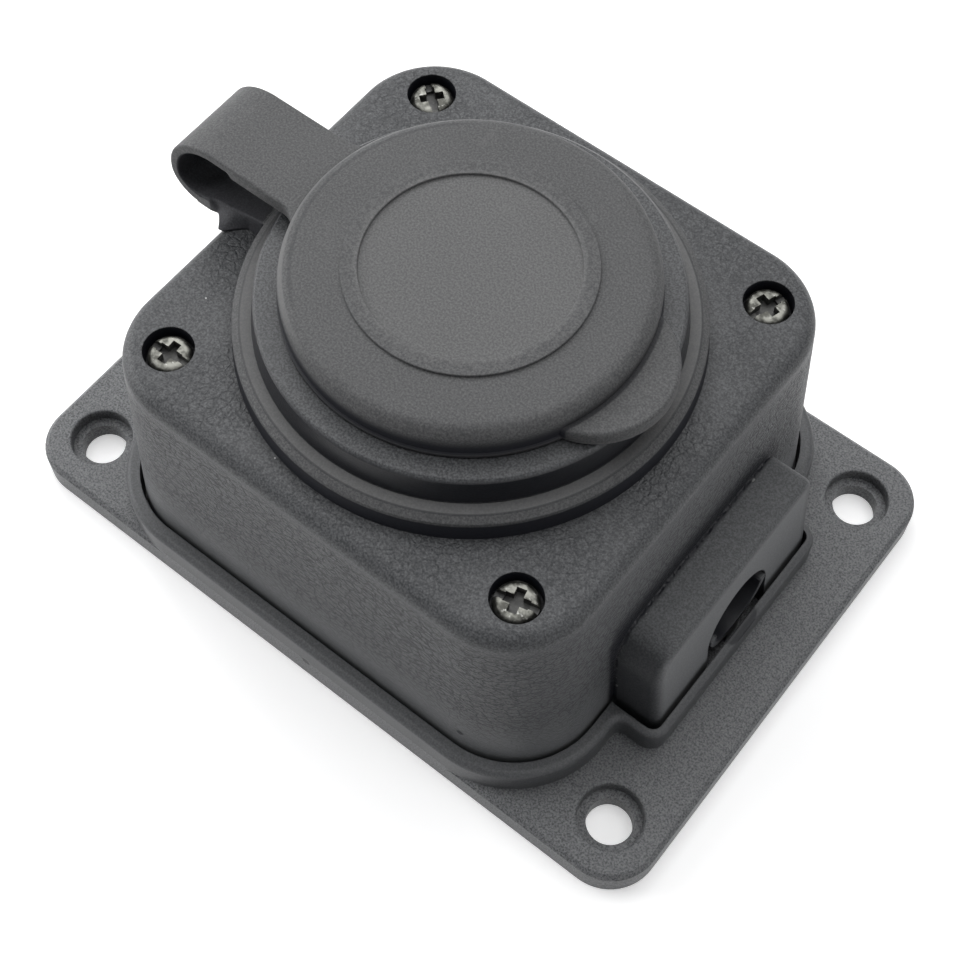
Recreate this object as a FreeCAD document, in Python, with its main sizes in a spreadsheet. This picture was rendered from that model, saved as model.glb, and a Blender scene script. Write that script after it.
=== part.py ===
"""Surface mount socket with a rubber cap on a strap.

The frame has its origin on the underside of the base plate, in the middle of the four mounting
holes. X runs from the strap to the cable hood, Z up to the cap. Lengths are in millimetres.
"""
import FreeCAD, Part
import math
import os
import Sketcher

doc = FreeCAD.newDocument("surface_mount_socket")
Vector = FreeCAD.Vector

# Sizes: name, value, what it is
SIZE_ROWS = [
    ("well_r", 19.6, "socket well radius, set by the plug"),
    ("insert_wall", 1.7, "wall of the insert around the well"),
    ("insert_play", 0.2, "play between insert and collar"),
    ("collar_wall", 3.4, "thickness of the collar at its top"),
    ("collar_lean", 0.5, "how much the collar widens down to the ring"),
    ("collar_rise", 7.4, "collar above the cover's top face"),
    ("collar_round", 0.4, "rounding of the collar's top edge"),
    ("groove_depth", 1.0, "depth of the groove that holds the ring"),
    ("ring_width", 2.6, "rubber ring beyond the collar"),
    ("ring_lean", 0.3, "lean of the ring's side"),
    ("ring_bevel", 1.0, "bevel of the ring's top edge"),
    ("ring_height", 3.5, "rubber ring height"),
    ("ring_side_height", 2.9, "height of the ring's side"),
    ("ring_gap", 0.05, "gap between ring and collar"),
    ("top_margin_x", 4.93, "cover's top beyond the ring along X"),
    ("top_margin_y", 3.38, "cover's top beyond the ring along Y"),
    ("top_corner", 10.93, "cover corner radius at the top face"),
    ("top_round", 2.2, "rounding of the cover's top edge"),
    ("cover_top", 38.4, "height of the cover's top face"),
    ("cover_wall", 2.2, "cover wall thickness"),
    ("roof_thick", 2.4, "cover roof thickness"),
    ("foot_spread_x", 2.413, "how much the cover's half length grows down to its foot"),
    ("foot_spread_y", 1.688, "how much the cover's half width grows down to its foot"),
    ("corner_spread", 0.96, "how much the cover's corner radius grows down to its foot"),
    ("seat_gap_x", 0.157, "gap between cover foot and lip along X"),
    ("seat_gap_y", 0.282, "gap between cover foot and lip along Y"),
    ("wing_length", 12.6, "wing beyond the lip along X"),
    ("plate_thick", 4.3, "height of the wings and of the ledge inside the lip"),
    ("plate_corner", 6.5, "corner radius of the plate"),
    ("plate_chamfer", 0.6, "bevel along the top edge of the wings"),
    ("floor_thick", 2.8, "plate under the interior"),
    ("hole_edge_x", 7.25, "mounting holes from the plate's ends"),
    ("hole_edge_y", 7.5, "mounting holes from the plate's sides"),
    ("hole_r", 2.95, "mounting hole radius"),
    ("sink_r", 4.15, "counterbore radius"),
    ("sink_depth", 1.9, "counterbore depth"),
    ("sink_round", 0.3, "rounding of the counterbore rim"),
    ("axis_offset", 0.7, "cover axis from the hole pattern towards the strap"),
    ("lip_height", 4.25, "raised lip above the wings"),
    ("lip_corner", 13.9, "lip outside corner radius"),
    ("lip_wall", 1.9, "lip thickness"),
    ("lip_round", 0.9, "rounding of the outer top edge of the lip"),
    ("ledge_width", 3.0, "ledge that carries the seal"),
    ("seal_thick", 1.0, "seal between ledge and cover"),
    ("step_round", 1.2, "rounding in the step of the lip"),
    ("hood_top", 22.6, "height of the hood"),
    ("hood_reach", 7.22, "hood front at its top beyond the cover's top edge"),
    ("hood_near", 16.0, "hood's -Y end at its top from the cover axis"),
    ("hood_far", 16.75, "hood's +Y end at its top from the cover axis"),
    ("hood_spread_x", 1.644, "how much the hood's front leans out down to its foot"),
    ("hood_spread_y", 0.311, "how much the hood's ends lean out down to their foot"),
    ("hood_wall", 2.0, "hood wall thickness"),
    ("hood_near_round", 5.5, "rounding of the hood's edge on the -Y end"),
    ("hood_far_round", 1.8, "rounding of the hood's edge on the +Y end"),
    ("hood_crease", 1.0, "rounding of the hood's front edges"),
    ("hood_lip_wall", 1.0, "lip thickness at the hood"),
    ("hood_lip_corner", 2.3, "corner radius of the lip at the hood"),
    ("hood_gap_front", 0.306, "gap between hood front and lip"),
    ("hood_gap_side", 0.139, "gap between hood end and lip"),
    ("inlet_y", 1.1, "cable inlet from the middle of the hood's side"),
    ("arch_half", 6.3, "half width of the cable arch"),
    ("arch_mid", 10.8, "height of the arch's axis"),
    ("trough_r", 4.7, "cable trough inner radius"),
    ("trough_wall", 1.2, "cable trough thickness"),
    ("trough_mid", 12.5, "height of the trough's axis"),
    ("trough_back_in", 5.4, "inner end of the trough inside the lip's outer face"),
    ("trough_front_in", 1.8, "outer end of the trough inside the hood lip's outer face"),
    ("trough_rib", 2.4, "thickness of the rib under the trough"),
    ("screw_inset_x", 7.28, "cover screws inside the cover's top edge along X"),
    ("screw_inset_y", 6.98, "cover screws inside the cover's top edge along Y"),
    ("recess_r", 3.1, "screw recess radius"),
    ("recess_depth", 2.6, "screw recess depth"),
    ("boss_r", 3.75, "screw boss radius"),
    ("boss_gap", 0.2, "gap between boss and post"),
    ("boss_hole_r", 1.6, "screw hole radius in the boss"),
    ("post_r", 3.7, "screw post radius"),
    ("post_drop", 12.4, "screw posts below the cover's top face"),
    ("post_pilot_r", 1.5, "pilot hole radius in the posts"),
    ("post_pilot_depth", 14.0, "pilot hole depth in the posts"),
    ("strap_half", 5.85, "half width of the strap"),
    ("strap_drop", 1.5, "strap's top face below the cap's top"),
    ("strap_thin", 1.3, "strap thickness in the bend"),
    ("strap_thick", 2.1, "strap thickness next to the cap"),
    ("strap_step_in", 1.43, "end of the thick part inside the cover's top edge"),
    ("strap_out", 9.07, "outermost point of the bend beyond the cover's top edge"),
    ("bend_upper_r", 8.0, "upper outer radius of the bend"),
    ("bend_lower_r", 4.0, "lower outer radius of the bend"),
    ("bend_foot_r", 2.3, "lower inner radius of the bend"),
    ("strap_split", 0.02, "gap between the strap and the pieces at its ends"),
    ("knee_out", 3.27, "where the tongue starts to rise, beyond the cover's top edge"),
    ("rest_in", 0.73, "where the tongue reaches the cover's top, inside its edge"),
    ("tongue_gap", 0.05, "gap between tongue and cover top"),
    ("tongue_bite", 2.0, "inner end of the tongue, inside the ring's foot"),
    ("tongue_root_top", 3.0, "height of the tongue at the ring above the cover top"),
    ("flare_half", 8.0, "half width of the tongue at the cover's edge"),
    ("flare_start_out", 1.97, "where the tongue starts to widen, beyond the cover's top edge"),
    ("flare_mid_in", 1.03, "inner end of the tongue's widest part, inside that edge"),
    ("flare_end_in", 3.23, "where the tongue is narrow again, inside that edge"),
    ("cap_gap", 0.2, "gap between cap and collar"),
    ("cap_inset", 2.9, "cap radius less than the collar's"),
    ("cap_step", 0.25, "step of the cap's side above its foot"),
    ("cap_foot", 0.35, "height of the thin foot of the cap"),
    ("cap_thick", 4.5, "height of the cap above the collar gap"),
    ("cap_round", 1.8, "rounding of the cap's top edge"),
    ("cap_roof", 2.5, "cap thickness over the cavity"),
    ("rim_inset", 7.4, "raised ring's outer edge inside the cap's edge"),
    ("rim_width", 2.0, "width of the raised ring on the cap"),
    ("rim_height", 0.4, "height of the raised ring on the cap"),
    ("skirt_play", 0.4, "play between the sealing skirt and the well"),
    ("skirt_wall", 2.0, "sealing skirt thickness"),
    ("skirt_depth", 5.2, "sealing skirt below the cap"),
    ("skirt_bevel", 0.5, "bevel of the skirt's lower edge"),
    ("tab_r", 9.65, "pull tab radius"),
    ("tab_inset", 4.7, "centre of the pull tab inside the cap's edge"),
    ("tab_thick", 2.05, "pull tab thickness"),
    ("tab_round", 0.5, "rounding of the tab's top edge"),
    ("lug_out", 1.0, "end of the cap's lug beyond the cap's edge"),
    ("lug_root_in", 1.8, "root of the cap's lug inside the cap's edge"),
    ("lug_root_half", 7.3, "half width of the cap's lug at its root"),
    ("lug_blend", 3.0, "radius of the lug's blend into the cap"),
    ("well_depth", 17.5, "socket well depth below the collar's top"),
    ("insert_sink", 0.2, "insert rim below the collar's top"),
    ("insert_floor", 2.5, "insert floor thickness"),
    ("ear_inset", 2.93, "end of the insert's ears inside the cover's top edge"),
    ("ear_half", 4.2, "half width of the ears"),
    ("ear_drop", 4.5, "ears' upper face below the cover's roof"),
    ("ear_thick", 3.0, "ear thickness"),
    ("ear_screw_inset", 3.5, "insert screws from the end of the ears"),
    ("ear_boss_r", 3.0, "radius of the bosses over the ears"),
    ("ear_boss_gap", 0.05, "gap between ear and boss"),
    ("ear_hole_r", 1.2, "screw hole radius in the ears"),
    ("ear_pilot_r", 1.05, "pilot hole radius over the ears"),
    ("ear_pilot_depth", 3.7, "pilot hole depth over the ears"),
    ("pin_half_pitch", 9.5, "pin holes from the axis"),
    ("pin_hole_r", 2.8, "pin hole radius"),
    ("pin_sink_r", 3.5, "pin hole radius at its mouth"),
    ("pin_sink_depth", 0.7, "depth of the pin hole's mouth"),
    ("rib_half", 2.4, "half width of the guide ribs"),
    ("rib_depth", 2.3, "guide ribs into the well"),
    ("rib_rise", 11.2, "height of the guide ribs above the well's floor"),
    ("slot_half", 4.0, "half width of the slots for the earth arms"),
    ("slot_edge", 0.1, "outer edge of these slots inside the well's wall"),
    ("slot_length", 1.6, "length of these slots along Y"),
    ("chamber_inner", 4.4, "inner side of the contact chambers from the axis"),
    ("chamber_inset", 0.9, "outer side of the contact chambers inside the insert's edge"),
    ("chamber_half", 6.4, "half width of the contact chambers"),
    ("chamber_wall", 1.2, "wall of the contact chambers"),
    ("chamber_depth", 16.7, "chambers below the well's floor plate"),
    ("window_half", 2.6, "half length of the wire windows"),
    ("window_drop", 11.2, "lower edge of the wire windows below that floor plate"),
    ("window_height", 5.8, "height of the wire windows"),
    ("carrier_gap", 0.05, "gap between contact carrier and insert"),
    ("web_half", 3.6, "half width of the web between the two chambers"),
    ("core_r", 2.5, "post in the middle of the insert"),
    ("core_play", 0.1, "play between that post and the carrier"),
    ("core_pilot_r", 1.05, "pilot hole radius in that post"),
    ("core_pilot_depth", 6.5, "pilot hole depth in that post"),
    ("sleeve_r", 3.1, "contact sleeve outer radius"),
    ("sleeve_wall", 0.65, "contact sleeve thickness"),
    ("sleeve_gap", 0.3, "gap between the sleeve's upper end and the floor plate"),
    ("sleeve_length", 12.7, "contact sleeve length"),
    ("sleeve_slit", 0.8, "slit in the sleeve"),
    ("sleeve_slit_depth", 9.0, "depth of the slit"),
    ("clamp_inset", 4.4, "clamp box middle inside the chamber's outer side"),
    ("clamp_half_x", 2.8, "clamp box half length"),
    ("clamp_half_y", 3.4, "clamp box half width"),
    ("clamp_below", 0.2, "clamp box's lower face below the sleeve's lower end"),
    ("clamp_height", 7.6, "clamp box height"),
    ("clamp_wire_r", 1.7, "wire hole radius"),
    ("clamp_wire_drop", 2.6, "wire hole below the clamp box's top"),
    ("clamp_screw_r", 1.5, "screw hole radius in the clamp box"),
    ("bridge_half", 1.6, "half width of the bridge from sleeve to clamp box"),
    ("bridge_height", 3.175, "height of the bridge"),
    ("earth_half", 3.5, "earth strip half width"),
    ("earth_thick", 0.8, "earth strip thickness"),
    ("earth_gap", 0.1, "gap between earth strip and insert floor"),
    ("earth_hole_r", 2.7, "hole in the earth strip for the post"),
    ("arm_play", 0.6, "play between the earth arms and the well's wall"),
    ("arm_rise", 11.9, "height of the earth arms above the well's floor"),
    ("arm_knee_rise", 2.7, "where the arm leans inwards, above the well's floor"),
    ("arm_contact_rise", 6.9, "the arm's contact point above the well's floor"),
    ("arm_bulge", 1.7, "how far the arm leans inwards"),
    ("earth_clamp_out", 5.2, "earth clamp box's middle beyond the chambers, along Y"),
    ("earth_clamp_drop", 8.2, "earth clamp box's lower face below the floor plate"),
    ("retainer_thick", 1.4, "retainer plate thickness"),
    ("retainer_gap", 0.1, "gap between retainer and chambers"),
    ("retainer_hole_r", 2.6, "hole in the retainer for the screwdriver"),
    ("retainer_corner", 1.5, "corner radius of the retainer"),
    ("cover_head_r", 2.68, "cover screw head radius"),
    ("cover_head_height", 1.95, "cover screw head height"),
    ("cover_shank_r", 1.42, "cover screw shank radius"),
    ("cover_shank", 22.0, "cover screw length under the head"),
    ("small_head_r", 2.0, "head radius of the small screws"),
    ("small_head_height", 1.4, "head height of the small screws"),
    ("small_shank_r", 1.0, "shank radius of the small screws"),
    ("small_shank", 6.0, "length of the small screws under the head"),
    ("clamp_head_height", 1.6, "head height of the clamp screws"),
    ("clamp_shank_r", 1.42, "shank radius of the clamp screws"),
    ("clamp_shank", 3.4, "length of the clamp screws under the head"),
    ("slot_width", 0.85, "width of the screw slots"),
    ("slot_depth", 0.8, "depth of the screw slots"),
    ("cross_width", 1.15, "width of the cross recess"),
    ("cross_reach", 1.55, "half length of the cross recess"),
    ("cross_depth", 1.2, "depth of the cross recess"),
]

# Share of a screw head's height that its edge rounding takes
HEAD_ROUND_SHARE = 0.45

# Turns of the screws' slots, in degrees
COVER_SCREW_TURNS = (4.0, 14.0, -38.0, 72.0)
INSERT_SCREW_TURNS = (20.0, 40.0)
TERMINAL_SCREW_TURNS = (35.0, 70.0)
EARTH_SCREW_TURN = 15.0
RETAINER_SCREW_TURN = 50.0


class Term:
    """A size or a sum of sizes, with its text for an expression and its value now."""

    def __init__(self, text, value):
        self.text = text
        self.value = value

    def combine(self, other, sign, value):
        return Term("(%s %s %s)" % (self.text, sign, other.text), value)

    def __add__(self, other):
        other = term(other)
        return self.combine(other, "+", self.value + other.value)

    def __sub__(self, other):
        other = term(other)
        return self.combine(other, "-", self.value - other.value)

    def __mul__(self, other):
        other = term(other)
        return self.combine(other, "*", self.value * other.value)

    def __truediv__(self, other):
        other = term(other)
        return self.combine(other, "/", self.value / other.value)

    def __neg__(self):
        return Term("(0 - %s)" % self.text, -self.value)


def term(value):
    return value if isinstance(value, Term) else Term(repr(float(value)), float(value))


class Sizes:
    """Writes the sizes into a sheet and hands each one out as a term."""

    def __init__(self, rows):
        sheet = doc.addObject("Spreadsheet::Sheet", "Sizes")
        for row, (name, value, note) in enumerate(rows, start=1):
            sheet.set("A%d" % row, name)
            sheet.set("B%d" % row, repr(value))
            sheet.set("C%d" % row, note)
            sheet.setAlias("B%d" % row, name)
            setattr(self, name, Term("Sizes." + name, value))
        doc.recompute()


S = Sizes(SIZE_ROWS)
ZERO = term(0)


def new_body(label, x=None, y=None, z=None, turn=0.0, axis=Vector(0, 0, 1)):
    body = doc.addObject("PartDesign::Body", label)
    body.Label = label
    body.Placement = FreeCAD.Placement(Vector(0, 0, 0), FreeCAD.Rotation(axis, turn))
    for letter, shift in (("x", x), ("y", y), ("z", z)):
        if shift is not None:
            body.setExpression("Placement.Base." + letter, shift.text)
    return body


def new_sketch(body, name, role="XY_Plane", shift=None):
    plane = next(item for item in body.Origin.OriginFeatures if item.Role == role)
    sketch = body.newObject("Sketcher::SketchObject", name)
    sketch.AttachmentSupport = [(plane, "")]
    sketch.MapMode = "FlatFace"
    if shift is not None:
        sketch.setExpression("AttachmentOffset.Base.z", shift.text)
    return sketch


def hold(sketch, kind, places, size):
    index = sketch.addConstraint(Sketcher.Constraint(kind, *places, size.value))
    sketch.setExpression("Constraints[%d]" % index, size.text)


def pin(sketch, geometry, end, x, y):
    hold(sketch, "DistanceX", (-1, 1, geometry, end), x)
    hold(sketch, "DistanceY", (-1, 1, geometry, end), y)


def add_circle(sketch, x, y, radius):
    x, y = term(x), term(y)
    circle = Part.Circle(Vector(x.value, y.value, 0), Vector(0, 0, 1), radius.value)
    index = sketch.addGeometry(circle, False)
    pin(sketch, index, 3, x, y)
    hold(sketch, "Radius", (index,), radius)


def arc_between(start, stop, radius):
    """Counterclockwise arc shorter than a half turn."""
    chord = stop - start
    middle = (start + stop) * 0.5
    rise = math.sqrt(max(radius ** 2 - (chord.Length / 2) ** 2, 0.0))
    centre = middle + Vector(-chord.y, chord.x, 0).normalize() * rise
    first = math.atan2(start.y - centre.y, start.x - centre.x)
    last = math.atan2(stop.y - centre.y, stop.x - centre.x)
    return Part.ArcOfCircle(Part.Circle(centre, Vector(0, 0, 1), radius), first, last)


def add_outline(sketch, steps):
    """Closed outline. A step is (x, y), or (x, y, radius, "left" or "right") for an arc to it."""
    corners = [(term(step[0]), term(step[1])) for step in steps]
    ends = []
    for number, step in enumerate(steps):
        start = Vector(corners[number - 1][0].value, corners[number - 1][1].value, 0)
        stop = Vector(corners[number][0].value, corners[number][1].value, 0)
        if len(step) == 2:
            index = sketch.addGeometry(Part.LineSegment(start, stop), False)
            ends.append((index, 1, 2))
            continue
        radius = step[2]
        if step[3] == "left":
            index = sketch.addGeometry(arc_between(start, stop, radius.value), False)
            ends.append((index, 1, 2))
        else:
            index = sketch.addGeometry(arc_between(stop, start, radius.value), False)
            ends.append((index, 2, 1))
    for number, (index, first, last) in enumerate(ends):
        before = ends[number - 1]
        joint = Sketcher.Constraint("Coincident", before[0], before[2], index, first)
        sketch.addConstraint(joint)
        pin(sketch, index, last, *corners[number])
        if len(steps[number]) > 2:
            hold(sketch, "Radius", (index,), steps[number][2])


def add_box(sketch, x0, x1, y0, y1):
    add_outline(sketch, [(x0, y0), (x1, y0), (x1, y1), (x0, y1)])


def add_round_box(sketch, x0, x1, y0, y1, r):
    x0, x1, y0, y1 = term(x0), term(x1), term(y0), term(y1)
    add_outline(sketch, [
        (x0 + r, y0, r, "left"), (x1 - r, y0),
        (x1, y0 + r, r, "left"), (x1, y1 - r),
        (x1 - r, y1, r, "left"), (x0 + r, y1),
        (x0, y1 - r, r, "left"), (x0, y0 + r),
    ])


def add_feature(body, kind, name, **values):
    feature = body.newObject("PartDesign::" + kind, name)
    for key, value in values.items():
        if isinstance(value, Term):
            feature.setExpression(key, value.text)
        else:
            setattr(feature, key, value)
    doc.recompute()
    return feature


def pad(body, sketch, length, down=False, both=False):
    side = "Symmetric" if both else "One side"
    return add_feature(body, "Pad", sketch.Name + "_pad", Profile=sketch, Length=length,
                       Reversed=down, SideType=side)


def pocket(body, sketch, length, up=False, both=False):
    side = "Symmetric" if both else "One side"
    return add_feature(body, "Pocket", sketch.Name + "_pocket", Profile=sketch, Length=length,
                       Reversed=up, SideType=side)


def revolve(body, sketch):
    return add_feature(body, "Revolution", sketch.Name + "_turned", Profile=sketch,
                       ReferenceAxis=(sketch, ["V_Axis"]), Angle=360.0)


def loft(body, low, high, cut=False):
    kind = "SubtractiveLoft" if cut else "AdditiveLoft"
    return add_feature(body, kind, low.Name + "_loft", Profile=low, Sections=[high], Ruled=True)


def edges_where(shape, test):
    names = []
    for number, edge in enumerate(shape.Edges, start=1):
        box = edge.BoundBox
        if test(edge, box):
            names.append("Edge%d" % number)
    return names


def soften(body, test, size, kind="Fillet"):
    """Rounds or bevels the edges of the body's present shape that pass the test."""
    base = body.Tip
    names = edges_where(base.Shape, test)
    if not names:
        raise RuntimeError("no edge found for %s" % body.Label)
    key = "Radius" if kind == "Fillet" else "Size"
    return add_feature(body, kind, base.Name + "_" + kind, Base=(base, names), **{key: size})


def at_height(box, z, slack=1e-3):
    return abs(box.ZMin - z.value) < slack and abs(box.ZMax - z.value) < slack


def upright_at(box, x, y, slack=0.02):
    flat = box.XLength < slack and box.YLength < slack
    return flat and abs(box.XMin - x.value) < slack and abs(box.YMin - y.value) < slack


def outer_loop(shape, z):
    """Keys of the edges on the outer boundary of the highest flat face."""
    faces = [f for f in shape.Faces if at_height(f.BoundBox, z)]
    face = max(faces, key=lambda f: f.OuterWire.BoundBox.DiagonalLength)
    return [edge.hashCode() for edge in face.OuterWire.Edges]


AXIS_X = -S.axis_offset

# Radii around the cover axis, outwards from the well
INSERT_R = S.well_r + S.insert_wall
COLLAR_BORE_R = INSERT_R + S.insert_play
COLLAR_TOP_R = COLLAR_BORE_R + S.collar_wall
COLLAR_FOOT_R = COLLAR_TOP_R + S.collar_lean
GROOVE_R = COLLAR_FOOT_R - S.groove_depth
RING_FOOT_R = COLLAR_FOOT_R + S.ring_width
CAP_R = COLLAR_TOP_R - S.cap_inset
SKIRT_R = S.well_r - S.skirt_play

# Half lengths and half widths, outwards from the ring
TOP_HALF_X = RING_FOOT_R + S.top_margin_x
TOP_HALF_Y = RING_FOOT_R + S.top_margin_y
FOOT_HALF_X = TOP_HALF_X + S.foot_spread_x
FOOT_HALF_Y = TOP_HALF_Y + S.foot_spread_y
FOOT_CORNER = S.top_corner + S.corner_spread
LIP_HALF_X = FOOT_HALF_X + S.seat_gap_x + S.lip_wall
PLATE_HALF_X = LIP_HALF_X + S.wing_length
PLATE_HALF_Y = FOOT_HALF_Y + S.seat_gap_y + S.lip_wall
HOLE_X = PLATE_HALF_X - S.hole_edge_x
HOLE_Y = PLATE_HALF_Y - S.hole_edge_y
SCREW_X = TOP_HALF_X - S.screw_inset_x
SCREW_Y = TOP_HALF_Y - S.screw_inset_y
EAR_X = TOP_HALF_X - S.ear_inset
EAR_SCREW_X = EAR_X - S.ear_screw_inset

# Hood and cable inlet
HOOD_X = TOP_HALF_X + S.hood_reach
HOOD_FOOT_X = HOOD_X + S.hood_spread_x
HOOD_FOOT_NEAR = S.hood_near + S.hood_spread_y
HOOD_FOOT_FAR = S.hood_far + S.hood_spread_y
HOOD_LIP_X = HOOD_FOOT_X + S.hood_gap_front + S.hood_lip_wall
HOOD_LIP_HALF = HOOD_FOOT_FAR + S.hood_gap_side + S.hood_lip_wall
TROUGH_BACK = LIP_HALF_X - S.trough_back_in
TROUGH_FRONT = HOOD_LIP_X - S.trough_front_in

# Heights
LIP_TOP = S.plate_thick + S.lip_height
COVER_FOOT = S.plate_thick + S.seal_thick
COVER_HEIGHT = S.cover_top - COVER_FOOT
HOOD_HEIGHT = S.hood_top - COVER_FOOT
ROOF_UNDER = S.cover_top - S.roof_thick
POST_TOP = S.cover_top - S.post_drop
RING_TOP = S.cover_top + S.ring_height
COLLAR_TOP = S.cover_top + S.collar_rise
CAP_UNDER = COLLAR_TOP + S.cap_gap
CAP_TOP = CAP_UNDER + S.cap_thick
SKIRT_FOOT = CAP_UNDER - S.skirt_depth
WELL_FLOOR = COLLAR_TOP - S.well_depth
INSERT_UNDER = WELL_FLOOR - S.insert_floor
EAR_TOP = ROOF_UNDER - S.ear_drop
CHAMBER_FOOT = INSERT_UNDER - S.chamber_depth

# Contacts
CHAMBER_OUTER = INSERT_R - S.chamber_inset
CLAMP_MID = CHAMBER_OUTER - S.clamp_inset
SLEEVE_TOP = INSERT_UNDER - S.sleeve_gap
SLEEVE_FOOT = SLEEVE_TOP - S.sleeve_length
CLAMP_FOOT = SLEEVE_FOOT - S.clamp_below
EARTH_CLAMP_Y = S.chamber_half + S.earth_clamp_out
EARTH_CLAMP_FOOT = INSERT_UNDER - S.earth_clamp_drop

# Strap, from the cover axis
STRAP_TOP = CAP_TOP - S.strap_drop
STRAP_REACH = TOP_HALF_X + S.strap_out
BEND_MID = STRAP_TOP - S.bend_upper_r
LUG_X = CAP_R + S.lug_out

SIGN_PAIRS = [(sx, sy) for sy in (-1, 1) for sx in (-1, 1)]


def signed(sign, size):
    return size if sign > 0 else -size


def spots(half_x, half_y, middle=ZERO):
    return [(middle + signed(sx, half_x), signed(sy, half_y)) for sx, sy in SIGN_PAIRS]


def circles(body, name, places, radius, z):
    sketch = new_sketch(body, name, shift=z)
    for x, y in places:
        add_circle(sketch, x, y, radius)
    return sketch


def base_plate():
    body = new_body("base_plate")
    plate_blank(body)
    plate_lip(body)
    plate_interior(body)
    plate_holes(body)
    plate_posts(body)
    plate_trough(body)


def plate_blank(body):
    sketch = new_sketch(body, "plate_outline")
    add_round_box(sketch, -PLATE_HALF_X, PLATE_HALF_X, -PLATE_HALF_Y, PLATE_HALF_Y, S.plate_corner)
    pad(body, sketch, S.plate_thick)
    soften(body, lambda edge, box: at_height(box, S.plate_thick), S.plate_chamfer, "Chamfer")


def plate_lip(body):
    sketch = new_sketch(body, "lip_outline")
    add_round_box(sketch, AXIS_X - LIP_HALF_X, AXIS_X + LIP_HALF_X,
                  -PLATE_HALF_Y, PLATE_HALF_Y, S.lip_corner)
    pad(body, sketch, LIP_TOP)
    sketch = new_sketch(body, "hood_lip_outline")
    add_round_box(sketch, AXIS_X, AXIS_X + HOOD_LIP_X, -HOOD_LIP_HALF, HOOD_LIP_HALF,
                  S.hood_lip_corner)
    pad(body, sketch, LIP_TOP)
    step_x = AXIS_X + LIP_HALF_X
    soften(body, lambda edge, box: upright_at(box, step_x, HOOD_LIP_HALF)
           or upright_at(box, step_x, -HOOD_LIP_HALF), S.step_round)
    loop = outer_loop(body.Tip.Shape, LIP_TOP)
    soften(body, lambda edge, box: edge.hashCode() in loop, S.lip_round)


def plate_interior(body):
    inner_x = LIP_HALF_X - S.lip_wall
    inner_y = PLATE_HALF_Y - S.lip_wall
    inner_corner = S.lip_corner - S.lip_wall
    hood_x = HOOD_LIP_X - S.hood_lip_wall
    hood_half = HOOD_LIP_HALF - S.hood_lip_wall
    hood_corner = S.hood_lip_corner - S.hood_lip_wall
    rim_depth = LIP_TOP - S.plate_thick
    sketch = new_sketch(body, "cover_seat", shift=LIP_TOP)
    add_round_box(sketch, AXIS_X - inner_x, AXIS_X + inner_x, -inner_y, inner_y, inner_corner)
    pocket(body, sketch, rim_depth)
    sketch = new_sketch(body, "hood_seat", shift=LIP_TOP)
    add_round_box(sketch, AXIS_X, AXIS_X + hood_x, -hood_half, hood_half, hood_corner)
    pocket(body, sketch, rim_depth)
    floor_depth = S.plate_thick - S.floor_thick
    sketch = new_sketch(body, "interior", shift=S.plate_thick)
    add_round_box(sketch, AXIS_X - inner_x + S.ledge_width, AXIS_X + inner_x - S.ledge_width,
                  -inner_y + S.ledge_width, inner_y - S.ledge_width,
                  inner_corner - S.ledge_width)
    pocket(body, sketch, floor_depth)
    sketch = new_sketch(body, "hood_interior", shift=S.plate_thick)
    add_box(sketch, AXIS_X, AXIS_X + hood_x - S.ledge_width,
            -hood_half + S.ledge_width, hood_half - S.ledge_width)
    pocket(body, sketch, floor_depth)


def plate_holes(body):
    places = spots(HOLE_X, HOLE_Y)
    sink_floor = S.plate_thick - S.sink_depth
    pocket(body, circles(body, "counterbore", places, S.sink_r, S.plate_thick), S.sink_depth)
    pocket(body, circles(body, "mounting_hole", places, S.hole_r, sink_floor), sink_floor)
    rim = S.sink_r.value
    soften(body, lambda edge, box: at_height(box, S.plate_thick)
           and edge.Closed and abs(box.XLength - 2 * rim) < 0.01, S.sink_round)


def plate_posts(body):
    places = spots(SCREW_X, SCREW_Y, AXIS_X)
    height = POST_TOP - S.floor_thick
    pad(body, circles(body, "post", places, S.post_r, S.floor_thick), height)
    pilot = circles(body, "post_pilot", places, S.post_pilot_r, POST_TOP)
    pocket(body, pilot, S.post_pilot_depth)


def plate_trough(body):
    inner = S.trough_r
    outer = S.trough_r + S.trough_wall
    back = AXIS_X + TROUGH_BACK
    length = TROUGH_FRONT - TROUGH_BACK
    mid_y, mid_z = S.inlet_y, S.trough_mid
    sketch = new_sketch(body, "trough", "YZ_Plane", back)
    add_outline(sketch, [
        (mid_y - outer, mid_z, outer, "right"), (mid_y - inner, mid_z),
        (mid_y, mid_z - inner, inner, "left"), (mid_y + inner, mid_z, inner, "left"),
        (mid_y + outer, mid_z), (mid_y, mid_z - outer, outer, "right"),
    ])
    rib = new_sketch(body, "trough_rib", "YZ_Plane", back)
    half = S.trough_rib / 2
    add_box(rib, mid_y - half, mid_y + half, S.floor_thick, mid_z - outer + S.trough_wall / 2)
    pad(body, rib, length)
    pad(body, sketch, length)


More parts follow.
